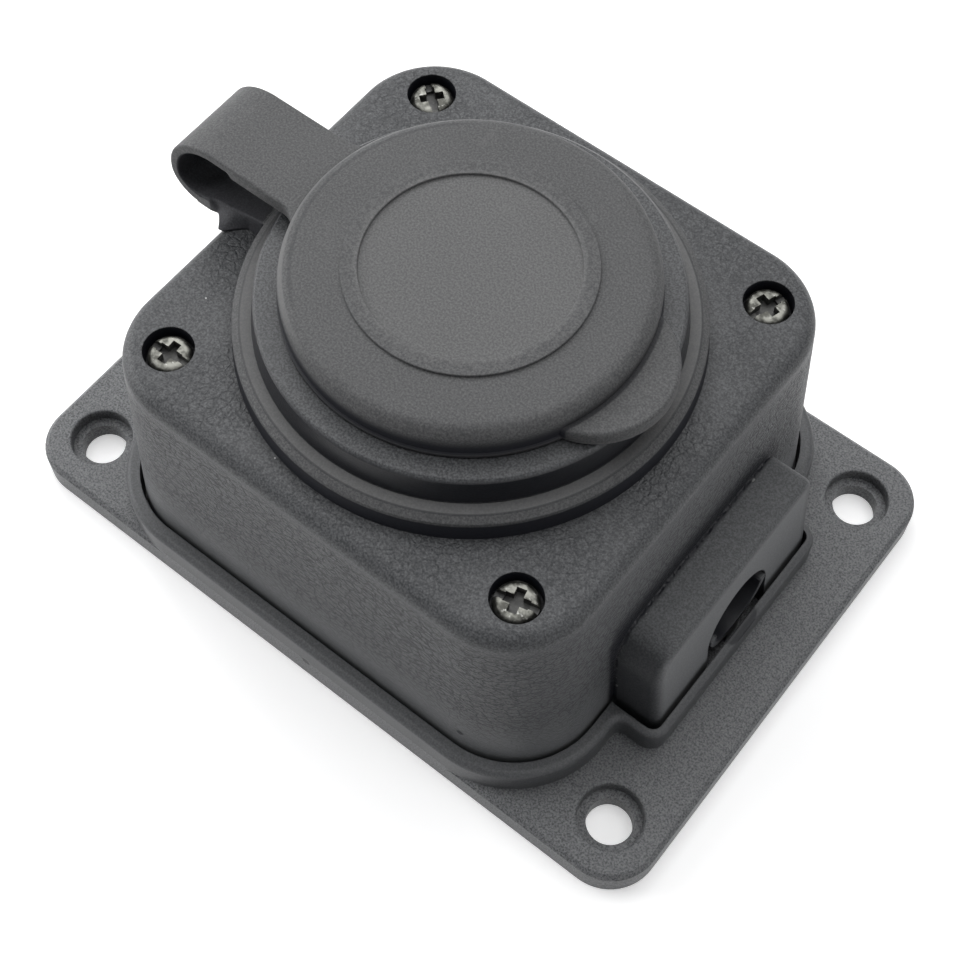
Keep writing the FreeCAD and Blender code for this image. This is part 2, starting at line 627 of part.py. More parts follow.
def cover_seal():
    body = new_body("cover_seal", x=AXIS_X)
    width = S.cover_wall
    sketch = new_sketch(body, "seal_outline", shift=S.plate_thick)
    add_round_box(sketch, -FOOT_HALF_X, FOOT_HALF_X, -FOOT_HALF_Y, FOOT_HALF_Y, FOOT_CORNER)
    pad(body, sketch, S.seal_thick)
    sketch = new_sketch(body, "seal_hood", shift=S.plate_thick)
    add_box(sketch, ZERO, HOOD_FOOT_X, -HOOD_FOOT_NEAR, HOOD_FOOT_FAR)
    pad(body, sketch, S.seal_thick)
    sketch = new_sketch(body, "seal_inside", shift=COVER_FOOT)
    add_round_box(sketch, -FOOT_HALF_X + width, FOOT_HALF_X - width,
                  -FOOT_HALF_Y + width, FOOT_HALF_Y - width, FOOT_CORNER - width)
    pocket(body, sketch, S.seal_thick)
    sketch = new_sketch(body, "seal_hood_inside", shift=COVER_FOOT)
    add_box(sketch, ZERO, HOOD_FOOT_X - width, -HOOD_FOOT_NEAR + width, HOOD_FOOT_FAR - width)
    pocket(body, sketch, S.seal_thick)
    sketch = new_sketch(body, "seal_gap", shift=COVER_FOOT)
    add_box(sketch, HOOD_FOOT_X - width * 2, HOOD_FOOT_X + width,
            S.inlet_y - S.arch_half, S.inlet_y + S.arch_half)
    pocket(body, sketch, S.seal_thick)


def cover_housing():
    body = new_body("cover_housing", x=AXIS_X)
    cover_shell(body)
    cover_cavity(body)
    cover_collar(body)
    cover_bosses(body)
    cover_arch(body)


def cover_section(body, name, z, drop, inset):
    sketch = new_sketch(body, name, shift=z)
    share = drop / COVER_HEIGHT
    half_x = TOP_HALF_X + S.foot_spread_x * share - inset
    half_y = TOP_HALF_Y + S.foot_spread_y * share - inset
    corner = S.top_corner + S.corner_spread * share - inset
    add_round_box(sketch, -half_x, half_x, -half_y, half_y, corner)
    return sketch


def hood_section(body, name, z, drop, inset):
    sketch = new_sketch(body, name, shift=z)
    share = drop / HOOD_HEIGHT
    reach = HOOD_X + S.hood_spread_x * share - inset
    near = S.hood_near + S.hood_spread_y * share - inset
    far = S.hood_far + S.hood_spread_y * share - inset
    add_box(sketch, TROUGH_BACK - S.cover_wall * 2, reach, -near, far)
    return sketch


def cover_shell(body):
    foot = cover_section(body, "shell_foot", COVER_FOOT, COVER_HEIGHT, ZERO)
    top = cover_section(body, "shell_top", S.cover_top, ZERO, ZERO)
    loft(body, foot, top)
    foot = hood_section(body, "hood_foot", COVER_FOOT, HOOD_HEIGHT, ZERO)
    top = hood_section(body, "hood_top", S.hood_top, ZERO, ZERO)
    loft(body, foot, top)
    soften(body, lambda edge, box: at_height(box, S.cover_top), S.top_round)
    front = HOOD_X.value
    between = (S.hood_top - (S.hood_near_round + S.hood_far_round) / 2).value
    soften(body, lambda edge, box: at_height(box, S.hood_top)
           and box.YLength < 0.01 and box.YMin < 0 and box.XMax > front - 0.01,
           S.hood_near_round)
    soften(body, lambda edge, box: at_height(box, S.hood_top)
           and box.YLength < 0.01 and box.YMin > 0 and box.XMax > front - 0.01,
           S.hood_far_round)
    soften(body, lambda edge, box: box.XMin > front - 0.05
           and box.ZMax > between, S.hood_crease)


def cover_cavity(body):
    rise = S.cover_top - ROOF_UNDER
    foot = cover_section(body, "cavity_foot", COVER_FOOT, COVER_HEIGHT, S.cover_wall)
    top = cover_section(body, "cavity_top", ROOF_UNDER, rise, S.cover_wall)
    loft(body, foot, top, cut=True)
    under = S.hood_top - S.hood_wall
    foot = hood_section(body, "hood_cavity_foot", COVER_FOOT, HOOD_HEIGHT, S.hood_wall)
    top = hood_section(body, "hood_cavity_top", under, S.hood_wall, S.hood_wall)
    loft(body, foot, top, cut=True)


def cover_collar(body):
    sketch = new_sketch(body, "collar", "XZ_Plane")
    groove_top = RING_TOP + S.ring_gap * 2
    bore = COLLAR_BORE_R
    add_outline(sketch, [
        (bore, ROOF_UNDER), (GROOVE_R, ROOF_UNDER), (GROOVE_R, groove_top),
        (COLLAR_FOOT_R, groove_top), (COLLAR_TOP_R, COLLAR_TOP - S.collar_round),
        (COLLAR_TOP_R - S.collar_round, COLLAR_TOP),
        (bore + S.collar_round, COLLAR_TOP), (bore, COLLAR_TOP - S.collar_round),
    ])
    revolve(body, sketch)
    hole = circles(body, "collar_bore", [(0, 0)], bore, COLLAR_TOP)
    pocket(body, hole, COLLAR_TOP - ROOF_UNDER)


def cover_bosses(body):
    places = spots(SCREW_X, SCREW_Y)
    foot = POST_TOP + S.boss_gap
    start = S.cover_top - S.roof_thick / 2
    pad(body, circles(body, "boss", places, S.boss_r, start), start - foot, down=True)
    ears = [(-EAR_SCREW_X, ZERO), (EAR_SCREW_X, ZERO)]
    ear_foot = EAR_TOP + S.ear_boss_gap
    pad(body, circles(body, "ear_boss", ears, S.ear_boss_r, start), start - ear_foot, down=True)
    pocket(body, circles(body, "recess", places, S.recess_r, S.cover_top), S.recess_depth)
    seat = S.cover_top - S.recess_depth
    pocket(body, circles(body, "boss_hole", places, S.boss_hole_r, seat), seat - foot)
    pilot = circles(body, "ear_pilot", ears, S.ear_pilot_r, ear_foot)
    pocket(body, pilot, S.ear_pilot_depth, up=True)


def cover_arch(body):
    sketch = new_sketch(body, "arch", "YZ_Plane", TROUGH_BACK + S.cover_wall)
    half = S.arch_half
    left, right = S.inlet_y - half, S.inlet_y + half
    add_outline(sketch, [
        (left, COVER_FOOT), (right, COVER_FOOT), (right, S.arch_mid),
        (S.inlet_y, S.arch_mid + half, half, "left"), (left, S.arch_mid, half, "left"),
    ])
    pocket(body, sketch, HOOD_FOOT_X - TROUGH_BACK, up=True)


def strap_ring():
    body = new_body("strap_ring", x=AXIS_X)
    strap_tongue(body)
    foot = S.cover_top
    inner = GROOVE_R + S.ring_gap
    side = RING_FOOT_R - S.ring_lean
    sketch = new_sketch(body, "ring", "XZ_Plane")
    add_outline(sketch, [
        (inner, foot), (RING_FOOT_R, foot), (side, foot + S.ring_side_height),
        (side - S.ring_bevel, RING_TOP), (inner, RING_TOP),
    ])
    revolve(body, sketch)


def strap_tongue(body):
    foot = STRAP_TOP - S.bend_upper_r - S.bend_lower_r
    end_x = -STRAP_REACH + S.bend_lower_r
    end_top = BEND_MID - S.bend_foot_r
    rest = S.cover_top + S.tongue_gap
    root = RING_FOOT_R - S.tongue_bite
    sketch = new_sketch(body, "tongue", "XZ_Plane")
    add_outline(sketch, [
        (end_x, end_top), (end_x, foot), (-TOP_HALF_X - S.knee_out, foot),
        (-TOP_HALF_X + S.rest_in, rest), (-root, rest),
        (-root, S.cover_top + S.tongue_root_top),
    ])
    pad(body, sketch, S.flare_half * 2, both=True)
    sketch = new_sketch(body, "tongue_sides", shift=RING_TOP)
    flare = S.flare_half - S.strap_half
    start = -TOP_HALF_X - S.flare_start_out
    for sign, turn in ((1, "left"), (-1, "right")):
        add_outline(sketch, [
            (end_x - flare, signed(sign, S.strap_half)),
            (start, signed(sign, S.strap_half)),
            (start + flare, signed(sign, S.flare_half), flare, turn),
            (-TOP_HALF_X + S.flare_mid_in, signed(sign, S.flare_half)),
            (-TOP_HALF_X + S.flare_end_in, signed(sign, S.strap_half)),
            (-root + flare, signed(sign, S.strap_half)),
            (-root + flare, signed(sign, S.flare_half + flare)),
            (end_x - flare, signed(sign, S.flare_half + flare)),
        ])
    pocket(body, sketch, RING_TOP - foot)


def cap_strap():
    body = new_body("cap_strap", x=AXIS_X)
    upper = S.bend_upper_r
    lower = S.bend_lower_r
    mid_x = -STRAP_REACH + upper
    low_x = -STRAP_REACH + lower
    inner_x = -STRAP_REACH + S.strap_thin
    foot_x = inner_x + S.bend_foot_r
    under = STRAP_TOP - S.strap_thin
    start_x = -LUG_X - S.strap_split
    step_x = -TOP_HALF_X + S.strap_step_in
    end_x = low_x - S.strap_split
    sketch = new_sketch(body, "strap", "XZ_Plane")
    add_outline(sketch, [
        (start_x, STRAP_TOP), (mid_x, STRAP_TOP),
        (-STRAP_REACH, BEND_MID, upper, "left"),
        (end_x, BEND_MID - lower, lower - S.strap_split, "left"),
        (end_x, BEND_MID - S.bend_foot_r), (foot_x, BEND_MID - S.bend_foot_r),
        (inner_x, BEND_MID, S.bend_foot_r, "right"),
        (mid_x, under, upper - S.strap_thin, "right"),
        (step_x, under), (step_x, STRAP_TOP - S.strap_thick),
        (start_x, STRAP_TOP - S.strap_thick),
    ])
    pad(body, sketch, S.strap_half * 2, both=True)


def cap_lid():
    body = new_body("cap_lid", x=AXIS_X)
    cap_disc(body)
    tab = circles(body, "tab", [(CAP_R - S.tab_inset, 0)], S.tab_r, CAP_UNDER)
    pad(body, tab, S.tab_thick)
    tab_top = CAP_UNDER + S.tab_thick
    soften(body, lambda edge, box: at_height(box, tab_top) and box.XMax > LUG_X.value,
           S.tab_round)
    cap_lug(body)
    hollow = circles(body, "hollow", [(0, 0)], SKIRT_R - S.skirt_wall, SKIRT_FOOT)
    pocket(body, hollow, CAP_TOP - S.cap_roof - SKIRT_FOOT, up=True)


def cap_lug(body):
    sketch = new_sketch(body, "lug", shift=STRAP_TOP - S.strap_thick)
    half, root, blend = S.strap_half, S.lug_root_half, S.lug_blend
    middle = -SKIRT_R + S.skirt_wall
    root_x = -CAP_R + S.lug_root_in
    add_outline(sketch, [
        (-LUG_X, -half), (root_x, -root, blend, "right"), (middle, -root),
        (middle, root), (root_x, root), (-LUG_X, half, blend, "right"),
    ])
    pad(body, sketch, S.strap_thick)


def cap_disc(body):
    sketch = new_sketch(body, "cap", "XZ_Plane")
    top = CAP_TOP
    rim = CAP_TOP + S.rim_height
    side = CAP_R - S.cap_step
    shoulder = CAP_UNDER + S.cap_foot
    rim_out = CAP_R - S.rim_inset
    rim_in = rim_out - S.rim_width
    add_outline(sketch, [
        (ZERO, SKIRT_FOOT), (SKIRT_R - S.skirt_bevel, SKIRT_FOOT),
        (SKIRT_R, SKIRT_FOOT + S.skirt_bevel), (SKIRT_R, CAP_UNDER),
        (CAP_R, CAP_UNDER), (CAP_R, shoulder), (side, shoulder + S.cap_step),
        (side, top - S.cap_round), (side - S.cap_round, top, S.cap_round, "left"),
        (rim_out, top), (rim_out, rim), (rim_in, rim), (rim_in, top),
        (ZERO, top),
    ])
    revolve(body, sketch)


def socket_insert():
    body = new_body("socket_insert", x=AXIS_X)
    insert_cup(body)
    insert_ears(body)
    insert_core(body)
    insert_floor_holes(body)
    insert_ribs(body)


def insert_cup(body):
    rim = COLLAR_TOP - S.insert_sink
    cup = circles(body, "cup", [(0, 0)], INSERT_R, INSERT_UNDER)
    pad(body, cup, rim - INSERT_UNDER)
    well = circles(body, "well", [(0, 0)], S.well_r, rim)
    pocket(body, well, rim - WELL_FLOOR)


def insert_ears(body):
    sketch = new_sketch(body, "ears", shift=EAR_TOP)
    root = S.well_r + S.insert_wall / 2
    add_box(sketch, root, EAR_X, -S.ear_half, S.ear_half)
    add_box(sketch, -EAR_X, -root, -S.ear_half, S.ear_half)
    pad(body, sketch, S.ear_thick, down=True)
    ears = [(-EAR_SCREW_X, ZERO), (EAR_SCREW_X, ZERO)]
    pocket(body, circles(body, "ear_hole", ears, S.ear_hole_r, EAR_TOP), S.ear_thick)


def insert_core(body):
    core = circles(body, "core", [(0, 0)], S.core_r, INSERT_UNDER)
    pad(body, core, S.chamber_depth, down=True)
    pilot = circles(body, "core_pilot", [(0, 0)], S.core_pilot_r, CHAMBER_FOOT)
    pocket(body, pilot, S.core_pilot_depth, up=True)


def insert_floor_holes(body):
    pins = [(-S.pin_half_pitch, ZERO), (S.pin_half_pitch, ZERO)]
    pocket(body, circles(body, "pin_hole", pins, S.pin_hole_r, WELL_FLOOR), S.insert_floor)
    pocket(body, circles(body, "pin_mouth", pins, S.pin_sink_r, WELL_FLOOR), S.pin_sink_depth)
    sketch = new_sketch(body, "arm_slots", shift=WELL_FLOOR)
    outer = S.well_r - S.slot_edge
    inner = outer - S.slot_length
    add_box(sketch, -S.slot_half, S.slot_half, inner, outer)
    add_box(sketch, -S.slot_half, S.slot_half, -outer, -inner)
    pocket(body, sketch, S.insert_floor)


def insert_ribs(body):
    sketch = new_sketch(body, "ribs", shift=WELL_FLOOR)
    root = S.well_r + S.insert_wall / 2
    inner = S.well_r - S.rib_depth
    add_box(sketch, inner, root, -S.rib_half, S.rib_half)
    add_box(sketch, -root, -inner, -S.rib_half, S.rib_half)
    pad(body, sketch, S.rib_rise)


def contact_carrier():
    body = new_body("contact_carrier", x=AXIS_X)
    carrier_block(body)
    carrier_hollows(body)


def carrier_block(body):
    """Two chambers side by side and a web between them, under the earth strip."""
    top = INSERT_UNDER - S.carrier_gap
    half = S.chamber_half
    sketch = new_sketch(body, "chambers", shift=top)
    add_box(sketch, -CHAMBER_OUTER, -S.chamber_inner, -half, half)
    add_box(sketch, S.chamber_inner, CHAMBER_OUTER, -half, half)
    web = new_sketch(body, "web", shift=CHAMBER_FOOT)
    reach = S.chamber_inner + S.chamber_wall / 2
    add_box(web, -reach, reach, -S.web_half, S.web_half)
    pad(body, web, S.chamber_depth - S.earth_gap * 2 - S.earth_thick)
    pad(body, sketch, top - CHAMBER_FOOT, down=True)
    core = circles(body, "core_hole", [(0, 0)], S.core_r + S.core_play, CHAMBER_FOOT)
    pocket(body, core, S.chamber_depth, up=True)


def carrier_hollows(body):
    wall = S.chamber_wall
    half = S.chamber_half
    window_low = INSERT_UNDER - S.window_drop
    hollow = new_sketch(body, "chamber_hollows", shift=CHAMBER_FOOT)
    windows = new_sketch(body, "wire_windows", "XZ_Plane")
    for sign in (-1, 1):
        low = signed(sign, S.chamber_inner if sign > 0 else CHAMBER_OUTER)
        high = signed(sign, CHAMBER_OUTER if sign > 0 else S.chamber_inner)
        add_box(hollow, low + wall, high - wall, -half + wall, half - wall)
        middle = signed(sign, CLAMP_MID)
        add_box(windows, middle - S.window_half, middle + S.window_half,
                window_low, window_low + S.window_height)
    pocket(body, hollow, S.chamber_depth, up=True)
    pocket(body, windows, half * 2 + wall, both=True)


def clamp_box(body, x, y, foot, wire_role):
    """Brass box with a wire hole across and a screw hole from below."""
    sketch = new_sketch(body, "clamp", shift=foot)
    add_box(sketch, x - S.clamp_half_x, x + S.clamp_half_x,
            y - S.clamp_half_y, y + S.clamp_half_y)
    pad(body, sketch, S.clamp_height)
    wire_z = foot + S.clamp_height - S.clamp_wire_drop
    along_y = wire_role == "XZ_Plane"
    wire = new_sketch(body, "wire_hole", wire_role, -y if along_y else x)
    add_circle(wire, x if along_y else y, wire_z, S.clamp_wire_r)
    through = (S.clamp_half_y if along_y else S.clamp_half_x) * 2 + S.clamp_wire_r
    pocket(body, wire, through, both=True)
    screw = circles(body, "clamp_screw_hole", [(x, y)], S.clamp_screw_r, foot)
    pocket(body, screw, S.clamp_height - S.clamp_wire_drop, up=True)


def line_contact(label, side):
    body = new_body(label, x=AXIS_X, turn=0.0 if side > 0 else 180.0)
    pin_x = S.pin_half_pitch
    sleeve = circles(body, "sleeve", [(pin_x, 0)], S.sleeve_r, SLEEVE_FOOT)
    pad(body, sleeve, S.sleeve_length)
    bridge = new_sketch(body, "bridge", shift=SLEEVE_FOOT)
    add_box(bridge, pin_x, CLAMP_MID, -S.bridge_half, S.bridge_half)
    pad(body, bridge, S.bridge_height)
    bore = circles(body, "sleeve_bore", [(pin_x, 0)], S.sleeve_r - S.sleeve_wall, SLEEVE_FOOT)
    pocket(body, bore, S.sleeve_length, up=True)
    slits = new_sketch(body, "slit", shift=SLEEVE_TOP)
    half = S.sleeve_slit / 2
    reach = S.sleeve_r + S.sleeve_wall
    add_box(slits, pin_x - half, pin_x + half, -reach, reach)
    pocket(body, slits, S.sleeve_slit_depth)
    clamp_box(body, CLAMP_MID, ZERO, CLAMP_FOOT, "XZ_Plane")


def earth_bracket():
    body = new_body("earth_bracket", x=AXIS_X)
    top = INSERT_UNDER - S.earth_gap
    foot = top - S.earth_thick
    outer = S.well_r - S.arm_play
    thick = S.earth_thick
    lean = S.arm_bulge
    arm_top = WELL_FLOOR + S.arm_rise
    knee = WELL_FLOOR + S.arm_knee_rise
    contact = WELL_FLOOR + S.arm_contact_rise
    # The side view of the strip is drawn once and widened both ways.
    sketch = new_sketch(body, "strip", "YZ_Plane")
    side = [(outer, foot), (outer, knee), (outer - lean, contact), (outer, arm_top),
            (outer - thick, arm_top), (outer - lean - thick, contact), (outer - thick, knee),
            (outer - thick, top)]
    other = [(-y, z) for y, z in reversed(side)]
    add_outline(sketch, side + other)
    pad(body, sketch, S.earth_half * 2, both=True)
    hole = circles(body, "strip_hole", [(0, 0)], S.earth_hole_r, top)
    pocket(body, hole, S.earth_thick)
    # A neck reaches from the strip's upper face down into the clamp box.
    neck = new_sketch(body, "clamp_neck", shift=top)
    add_box(neck, -S.clamp_half_x, S.clamp_half_x, EARTH_CLAMP_Y - S.clamp_half_y,
            EARTH_CLAMP_Y + S.clamp_half_y)
    box_top = EARTH_CLAMP_FOOT + S.clamp_height
    pad(body, neck, top - box_top + S.earth_thick, down=True)
    clamp_box(body, ZERO, EARTH_CLAMP_Y, EARTH_CLAMP_FOOT, "YZ_Plane")


def contact_retainer():
    body = new_body("contact_retainer", x=AXIS_X)
    top = CHAMBER_FOOT - S.retainer_gap
    sketch = new_sketch(body, "retainer", shift=top)
    add_round_box(sketch, -CHAMBER_OUTER, CHAMBER_OUTER, -S.chamber_half, S.chamber_half,
                  S.retainer_corner)
    pad(body, sketch, S.retainer_thick, down=True)
    holes = [(-CLAMP_MID, ZERO), (CLAMP_MID, ZERO)]
    access = circles(body, "driver_hole", holes, S.retainer_hole_r, top)
    pocket(body, access, S.retainer_thick)
    middle = circles(body, "retainer_hole", [(0, 0)], S.ear_hole_r, top)
    pocket(body, middle, S.retainer_thick)


def screw(label, place, turn, head_r, head_height, shank_r, shank, cross, upside_down=False):
    """Pan head screw whose seat is at the placement and whose shank goes down."""
    axis = Vector(0, 0, 1)
    if upside_down:
        half = math.radians(turn / 2)
        axis = Vector(math.cos(half), math.sin(half), 0)
        turn = 180.0
    body = new_body(label, *place, turn=turn, axis=axis)
    sketch = new_sketch(body, "screw", "XZ_Plane")
    add_outline(sketch, [
        (ZERO, -shank), (shank_r / 2, -shank), (shank_r, -shank + shank_r),
        (shank_r, ZERO), (head_r, ZERO), (head_r, head_height), (ZERO, head_height),
    ])
    revolve(body, sketch)
    soften(body, lambda edge, box: at_height(box, head_height), head_height * HEAD_ROUND_SHARE)
    slot = new_sketch(body, "screw_slot", shift=head_height)
    add_box(slot, -head_r, head_r, -S.slot_width / 2, S.slot_width / 2)
    pocket(body, slot, S.slot_depth)
    if cross:
        recess = new_sketch(body, "cross_recess", shift=head_height)
        reach = S.cross_reach
        half = S.cross_width / 2
        add_outline(recess, [
            (half, half), (half, reach), (-half, reach), (-half, half), (-reach, half),
            (-reach, -half), (-half, -half), (-half, -reach), (half, -reach), (half, -half),
            (reach, -half), (reach, half),
        ])
        pocket(body, recess, S.cross_depth)


def cover_screws():
    seat = S.cover_top - S.recess_depth
    places = spots(SCREW_X, SCREW_Y, AXIS_X)
    for number, ((x, y), turn) in enumerate(zip(places, COVER_SCREW_TURNS), start=1):
        screw("cover_screw_%d" % number, (x, y, seat), turn, S.cover_head_r,
              S.cover_head_height, S.cover_shank_r, S.cover_shank, True)


def inner_screws():
    ear_seat = EAR_TOP - S.ear_thick
    small = (S.small_head_r, S.small_head_height, S.small_shank_r, S.small_shank)
    clamp = (S.small_head_r, S.clamp_head_height, S.clamp_shank_r, S.clamp_shank)
    pairs = zip((-1, 1), INSERT_SCREW_TURNS, TERMINAL_SCREW_TURNS)
    for number, (sign, insert_turn, terminal_turn) in enumerate(pairs, start=1):
        x = AXIS_X + signed(sign, EAR_SCREW_X)
        screw("insert_screw_%d" % number, (x, ZERO, ear_seat), insert_turn, *small,
              True, upside_down=True)
        x = AXIS_X + signed(sign, CLAMP_MID)
        screw("terminal_screw_%d" % number, (x, ZERO, CLAMP_FOOT), terminal_turn, *clamp,
              False, upside_down=True)
    place = (AXIS_X, EARTH_CLAMP_Y, EARTH_CLAMP_FOOT)
    screw("earth_terminal_screw", place, EARTH_SCREW_TURN, *clamp, False, upside_down=True)
    place = (AXIS_X, ZERO, CHAMBER_FOOT - S.retainer_gap - S.retainer_thick)
    screw("retainer_screw", place, RETAINER_SCREW_TURN, *small, True, upside_down=True)


def write_parts():
    doc.recompute()
    for item in doc.Objects:
        if "Invalid" in item.State or "Error" in item.State:
            raise RuntimeError("%s is %s" % (item.Name, item.State))
    os.makedirs("parts", exist_ok=True)
    for body in doc.findObjects("PartDesign::Body"):
        shape = body.Shape
        if shape.isNull() or not shape.isValid() or len(shape.Solids) != 1:
            raise RuntimeError("bad shape: " + body.Label)
        shape.exportStep("parts/%s.step" % body.Label)
        print("%-22s %9.1f mm3" % (body.Label, shape.Volume))


base_plate()
cover_seal()
cover_housing()
cover_screws()
socket_insert()
contact_carrier()
line_contact("line_contact_1", -1)
line_contact("line_contact_2", 1)
earth_bracket()
contact_retainer()
inner_screws()
strap_ring()
cap_strap()
cap_lid()
write_parts()
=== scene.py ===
import bmesh
import bpy
import math
import numpy as np
from mathutils import Matrix, Vector


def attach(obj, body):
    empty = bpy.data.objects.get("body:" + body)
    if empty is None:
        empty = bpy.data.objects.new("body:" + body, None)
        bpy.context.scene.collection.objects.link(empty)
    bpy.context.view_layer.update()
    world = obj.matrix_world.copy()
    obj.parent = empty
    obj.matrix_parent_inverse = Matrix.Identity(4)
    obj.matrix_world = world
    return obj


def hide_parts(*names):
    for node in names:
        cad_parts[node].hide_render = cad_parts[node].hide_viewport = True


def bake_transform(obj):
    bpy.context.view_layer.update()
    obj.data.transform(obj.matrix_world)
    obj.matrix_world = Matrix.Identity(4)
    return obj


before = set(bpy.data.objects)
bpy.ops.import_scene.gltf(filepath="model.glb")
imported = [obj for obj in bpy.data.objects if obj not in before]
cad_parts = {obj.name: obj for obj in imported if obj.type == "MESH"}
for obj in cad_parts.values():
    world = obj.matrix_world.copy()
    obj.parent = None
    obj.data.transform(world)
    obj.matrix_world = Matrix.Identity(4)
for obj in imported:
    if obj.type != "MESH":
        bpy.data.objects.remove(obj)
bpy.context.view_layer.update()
print("frame loaded:", len(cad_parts), "nodes")

mm = 0.001
axisX = -0.7  # cover axis in the frame, in mm; every shape below is worked out in mm
mergeReach, flatReach = 2e-6, 1e-7  # points nearer than this, in m, are one; flatter faces go


# Meshes

# Grids of points (rows, columns, 3) in mm become one mesh in metres. Rows or columns of a grid may
# close on themselves. Doubles at the poles are merged, and faces point outwards.
def gridMesh(name, grids):
    points, quads, start = [], [], 0
    for grid, closeRows, closeColumns in grids:
        rows, columns = grid.shape[:2]
        i = np.arange(rows if closeRows else rows - 1)[:, None]
        j = np.arange(columns if closeColumns else columns - 1)[None, :]
        nextI, nextJ = (i + 1) % rows, (j + 1) % columns
        quad = np.stack([i * columns + j, i * columns + nextJ,
                         nextI * columns + nextJ, nextI * columns + j], -1)
        quads.append(quad.reshape(-1, 4) + start)
        points.append(grid.reshape(-1, 3) * mm)
        start += rows * columns
    points, quads = np.concatenate(points), np.concatenate(quads)
    mesh = bpy.data.meshes.new(name)
    mesh.from_pydata(points.tolist(), [], quads.tolist())
    piece = bpy.data.objects.new(name, mesh)
    bpy.context.scene.collection.objects.link(piece)
    tidyMesh(mesh)
    return piece


# Merges points at one place, drops faces without an area and turns the faces outwards.
def tidyMesh(mesh):
    work = bmesh.new()
    work.from_mesh(mesh)
    bmesh.ops.remove_doubles(work, verts=work.verts, dist=mergeReach)
    bmesh.ops.dissolve_degenerate(work, edges=work.edges, dist=flatReach)
    bmesh.ops.recalc_face_normals(work, faces=work.faces)
    work.to_mesh(mesh)
    work.free()
    mesh.shade_smooth()


# A line through the corners (x, y, radius), each rounded by an arc of that radius.
def roundedLine(corners, steps=7, closed=False):
    line = []
    count = len(corners)
    for number, (x, y, radius) in enumerate(corners):
        here = np.array([x, y], float)
        if radius <= 0 or (not closed and number in (0, count - 1)):
            line.append(here[None])
            continue
        before = np.array(corners[number - 1][:2], float) - here
        after = np.array(corners[(number + 1) % count][:2], float) - here
        before, after = before / np.linalg.norm(before), after / np.linalg.norm(after)
        half = math.acos(np.clip(before @ after, -1, 1)) / 2
        reach = radius / math.tan(half)
        inward = (before + after) / np.linalg.norm(before + after)
        middle = here + inward * radius / math.sin(half)
        first, last = here + before * reach - middle, here + after * reach - middle
        swing = math.acos(np.clip(first @ last / radius ** 2, -1, 1))
        t = np.linspace(0, 1, steps)[:, None]
        turned = (np.sin((1 - t) * swing) * first + np.sin(t * swing) * last) / math.sin(swing)
        line.append(middle + turned)
    return np.concatenate(line)


# Long runs of a line are divided so that no piece is longer than the step.
def evenLine(line, step, closed=False):
    ends = np.concatenate([line[1:], line[:1]]) if closed else line[1:]
    starts = line if closed else line[:-1]
    runs = []
    for a, b in zip(starts, ends):
        parts = max(1, math.ceil(np.linalg.norm(b - a) / step))
        runs.append(a + (b - a) * np.linspace(0, 1, parts, endpoint=False)[:, None])
    return np.concatenate(runs if closed else runs + [line[-1:]])


# A profile of (radius, height) turned about an upright axis.
def latheGrid(profile, middle=(axisX, 0), steps=224):
    turn = np.linspace(0, 2 * math.pi, steps, endpoint=False)[None, :]
    radius, height = profile[:, :1], profile[:, 1:]
    return np.stack([middle[0] + radius * np.cos(turn), middle[1] + radius * np.sin(turn),
                     height + 0 * turn], -1)


# A rounded oblong section, half width by half thickness, as (across, through) around its middle.
def oblong(halfWidth, halfThick, radius, steps=6):
    turn = np.linspace(0, math.pi / 2, steps)
    quarter = np.concatenate([turn, turn + math.pi / 2, turn + math.pi, turn + 1.5 * math.pi])
    signX = np.repeat([1, -1, -1, 1], steps)
    signY = np.repeat([1, 1, -1, -1], steps)
    radius = np.minimum(radius, 0.98 * np.minimum(halfWidth, halfThick))
    across = signX * (halfWidth - radius) + radius * np.cos(quarter)
    through = signY * (halfThick - radius) + radius * np.sin(quarter)
    return across, through


# A first and a last row that each gather in their own middle close the ends of a tube.
def closedEnds(points):
    lid = points[[0, -1]].mean(axis=1, keepdims=True) + 0 * points[[0, -1]]
    return np.concatenate([lid[:1], points, lid[1:]])


# A band between an upper and a lower line in the XZ plane: at each station the rounded oblong
# spans from one line to the other and is as wide as the station says.
def bandGrid(upper, lower, halfWidth, radius):
    middle, half = (upper + lower) / 2, (upper - lower) / 2
    thick = np.linalg.norm(half, axis=1, keepdims=True)
    across, through = oblong(halfWidth.reshape(-1, 1), thick, radius)
    direction = half / thick
    points = np.stack([axisX + middle[:, :1] + through * direction[:, :1], across,
                       middle[:, 1:] + through * direction[:, 1:]], -1)
    return closedEnds(points)


# From 0 at the start to 1 at the end with level ends: t squared times (3 - 2 t).
def smooth(x, start, end):
    t = np.clip((x - start) / (end - start), 0, 1)
    return t * t * (3 - 2 * t)


# A quarter of an ellipse in the XZ plane, from the top to the far left, or on from there to the
# bottom; its first point is left out, as the line before it ends there.
def quarterArc(middle, radii, steps, lower=False):
    turn = np.linspace(0, math.pi / 2, steps)[1:, None]
    left, up = (np.cos(turn), -np.sin(turn)) if lower else (np.sin(turn), np.cos(turn))
    return np.concatenate([middle[0] - radii[0] * left, middle[1] + radii[1] * up], 1)


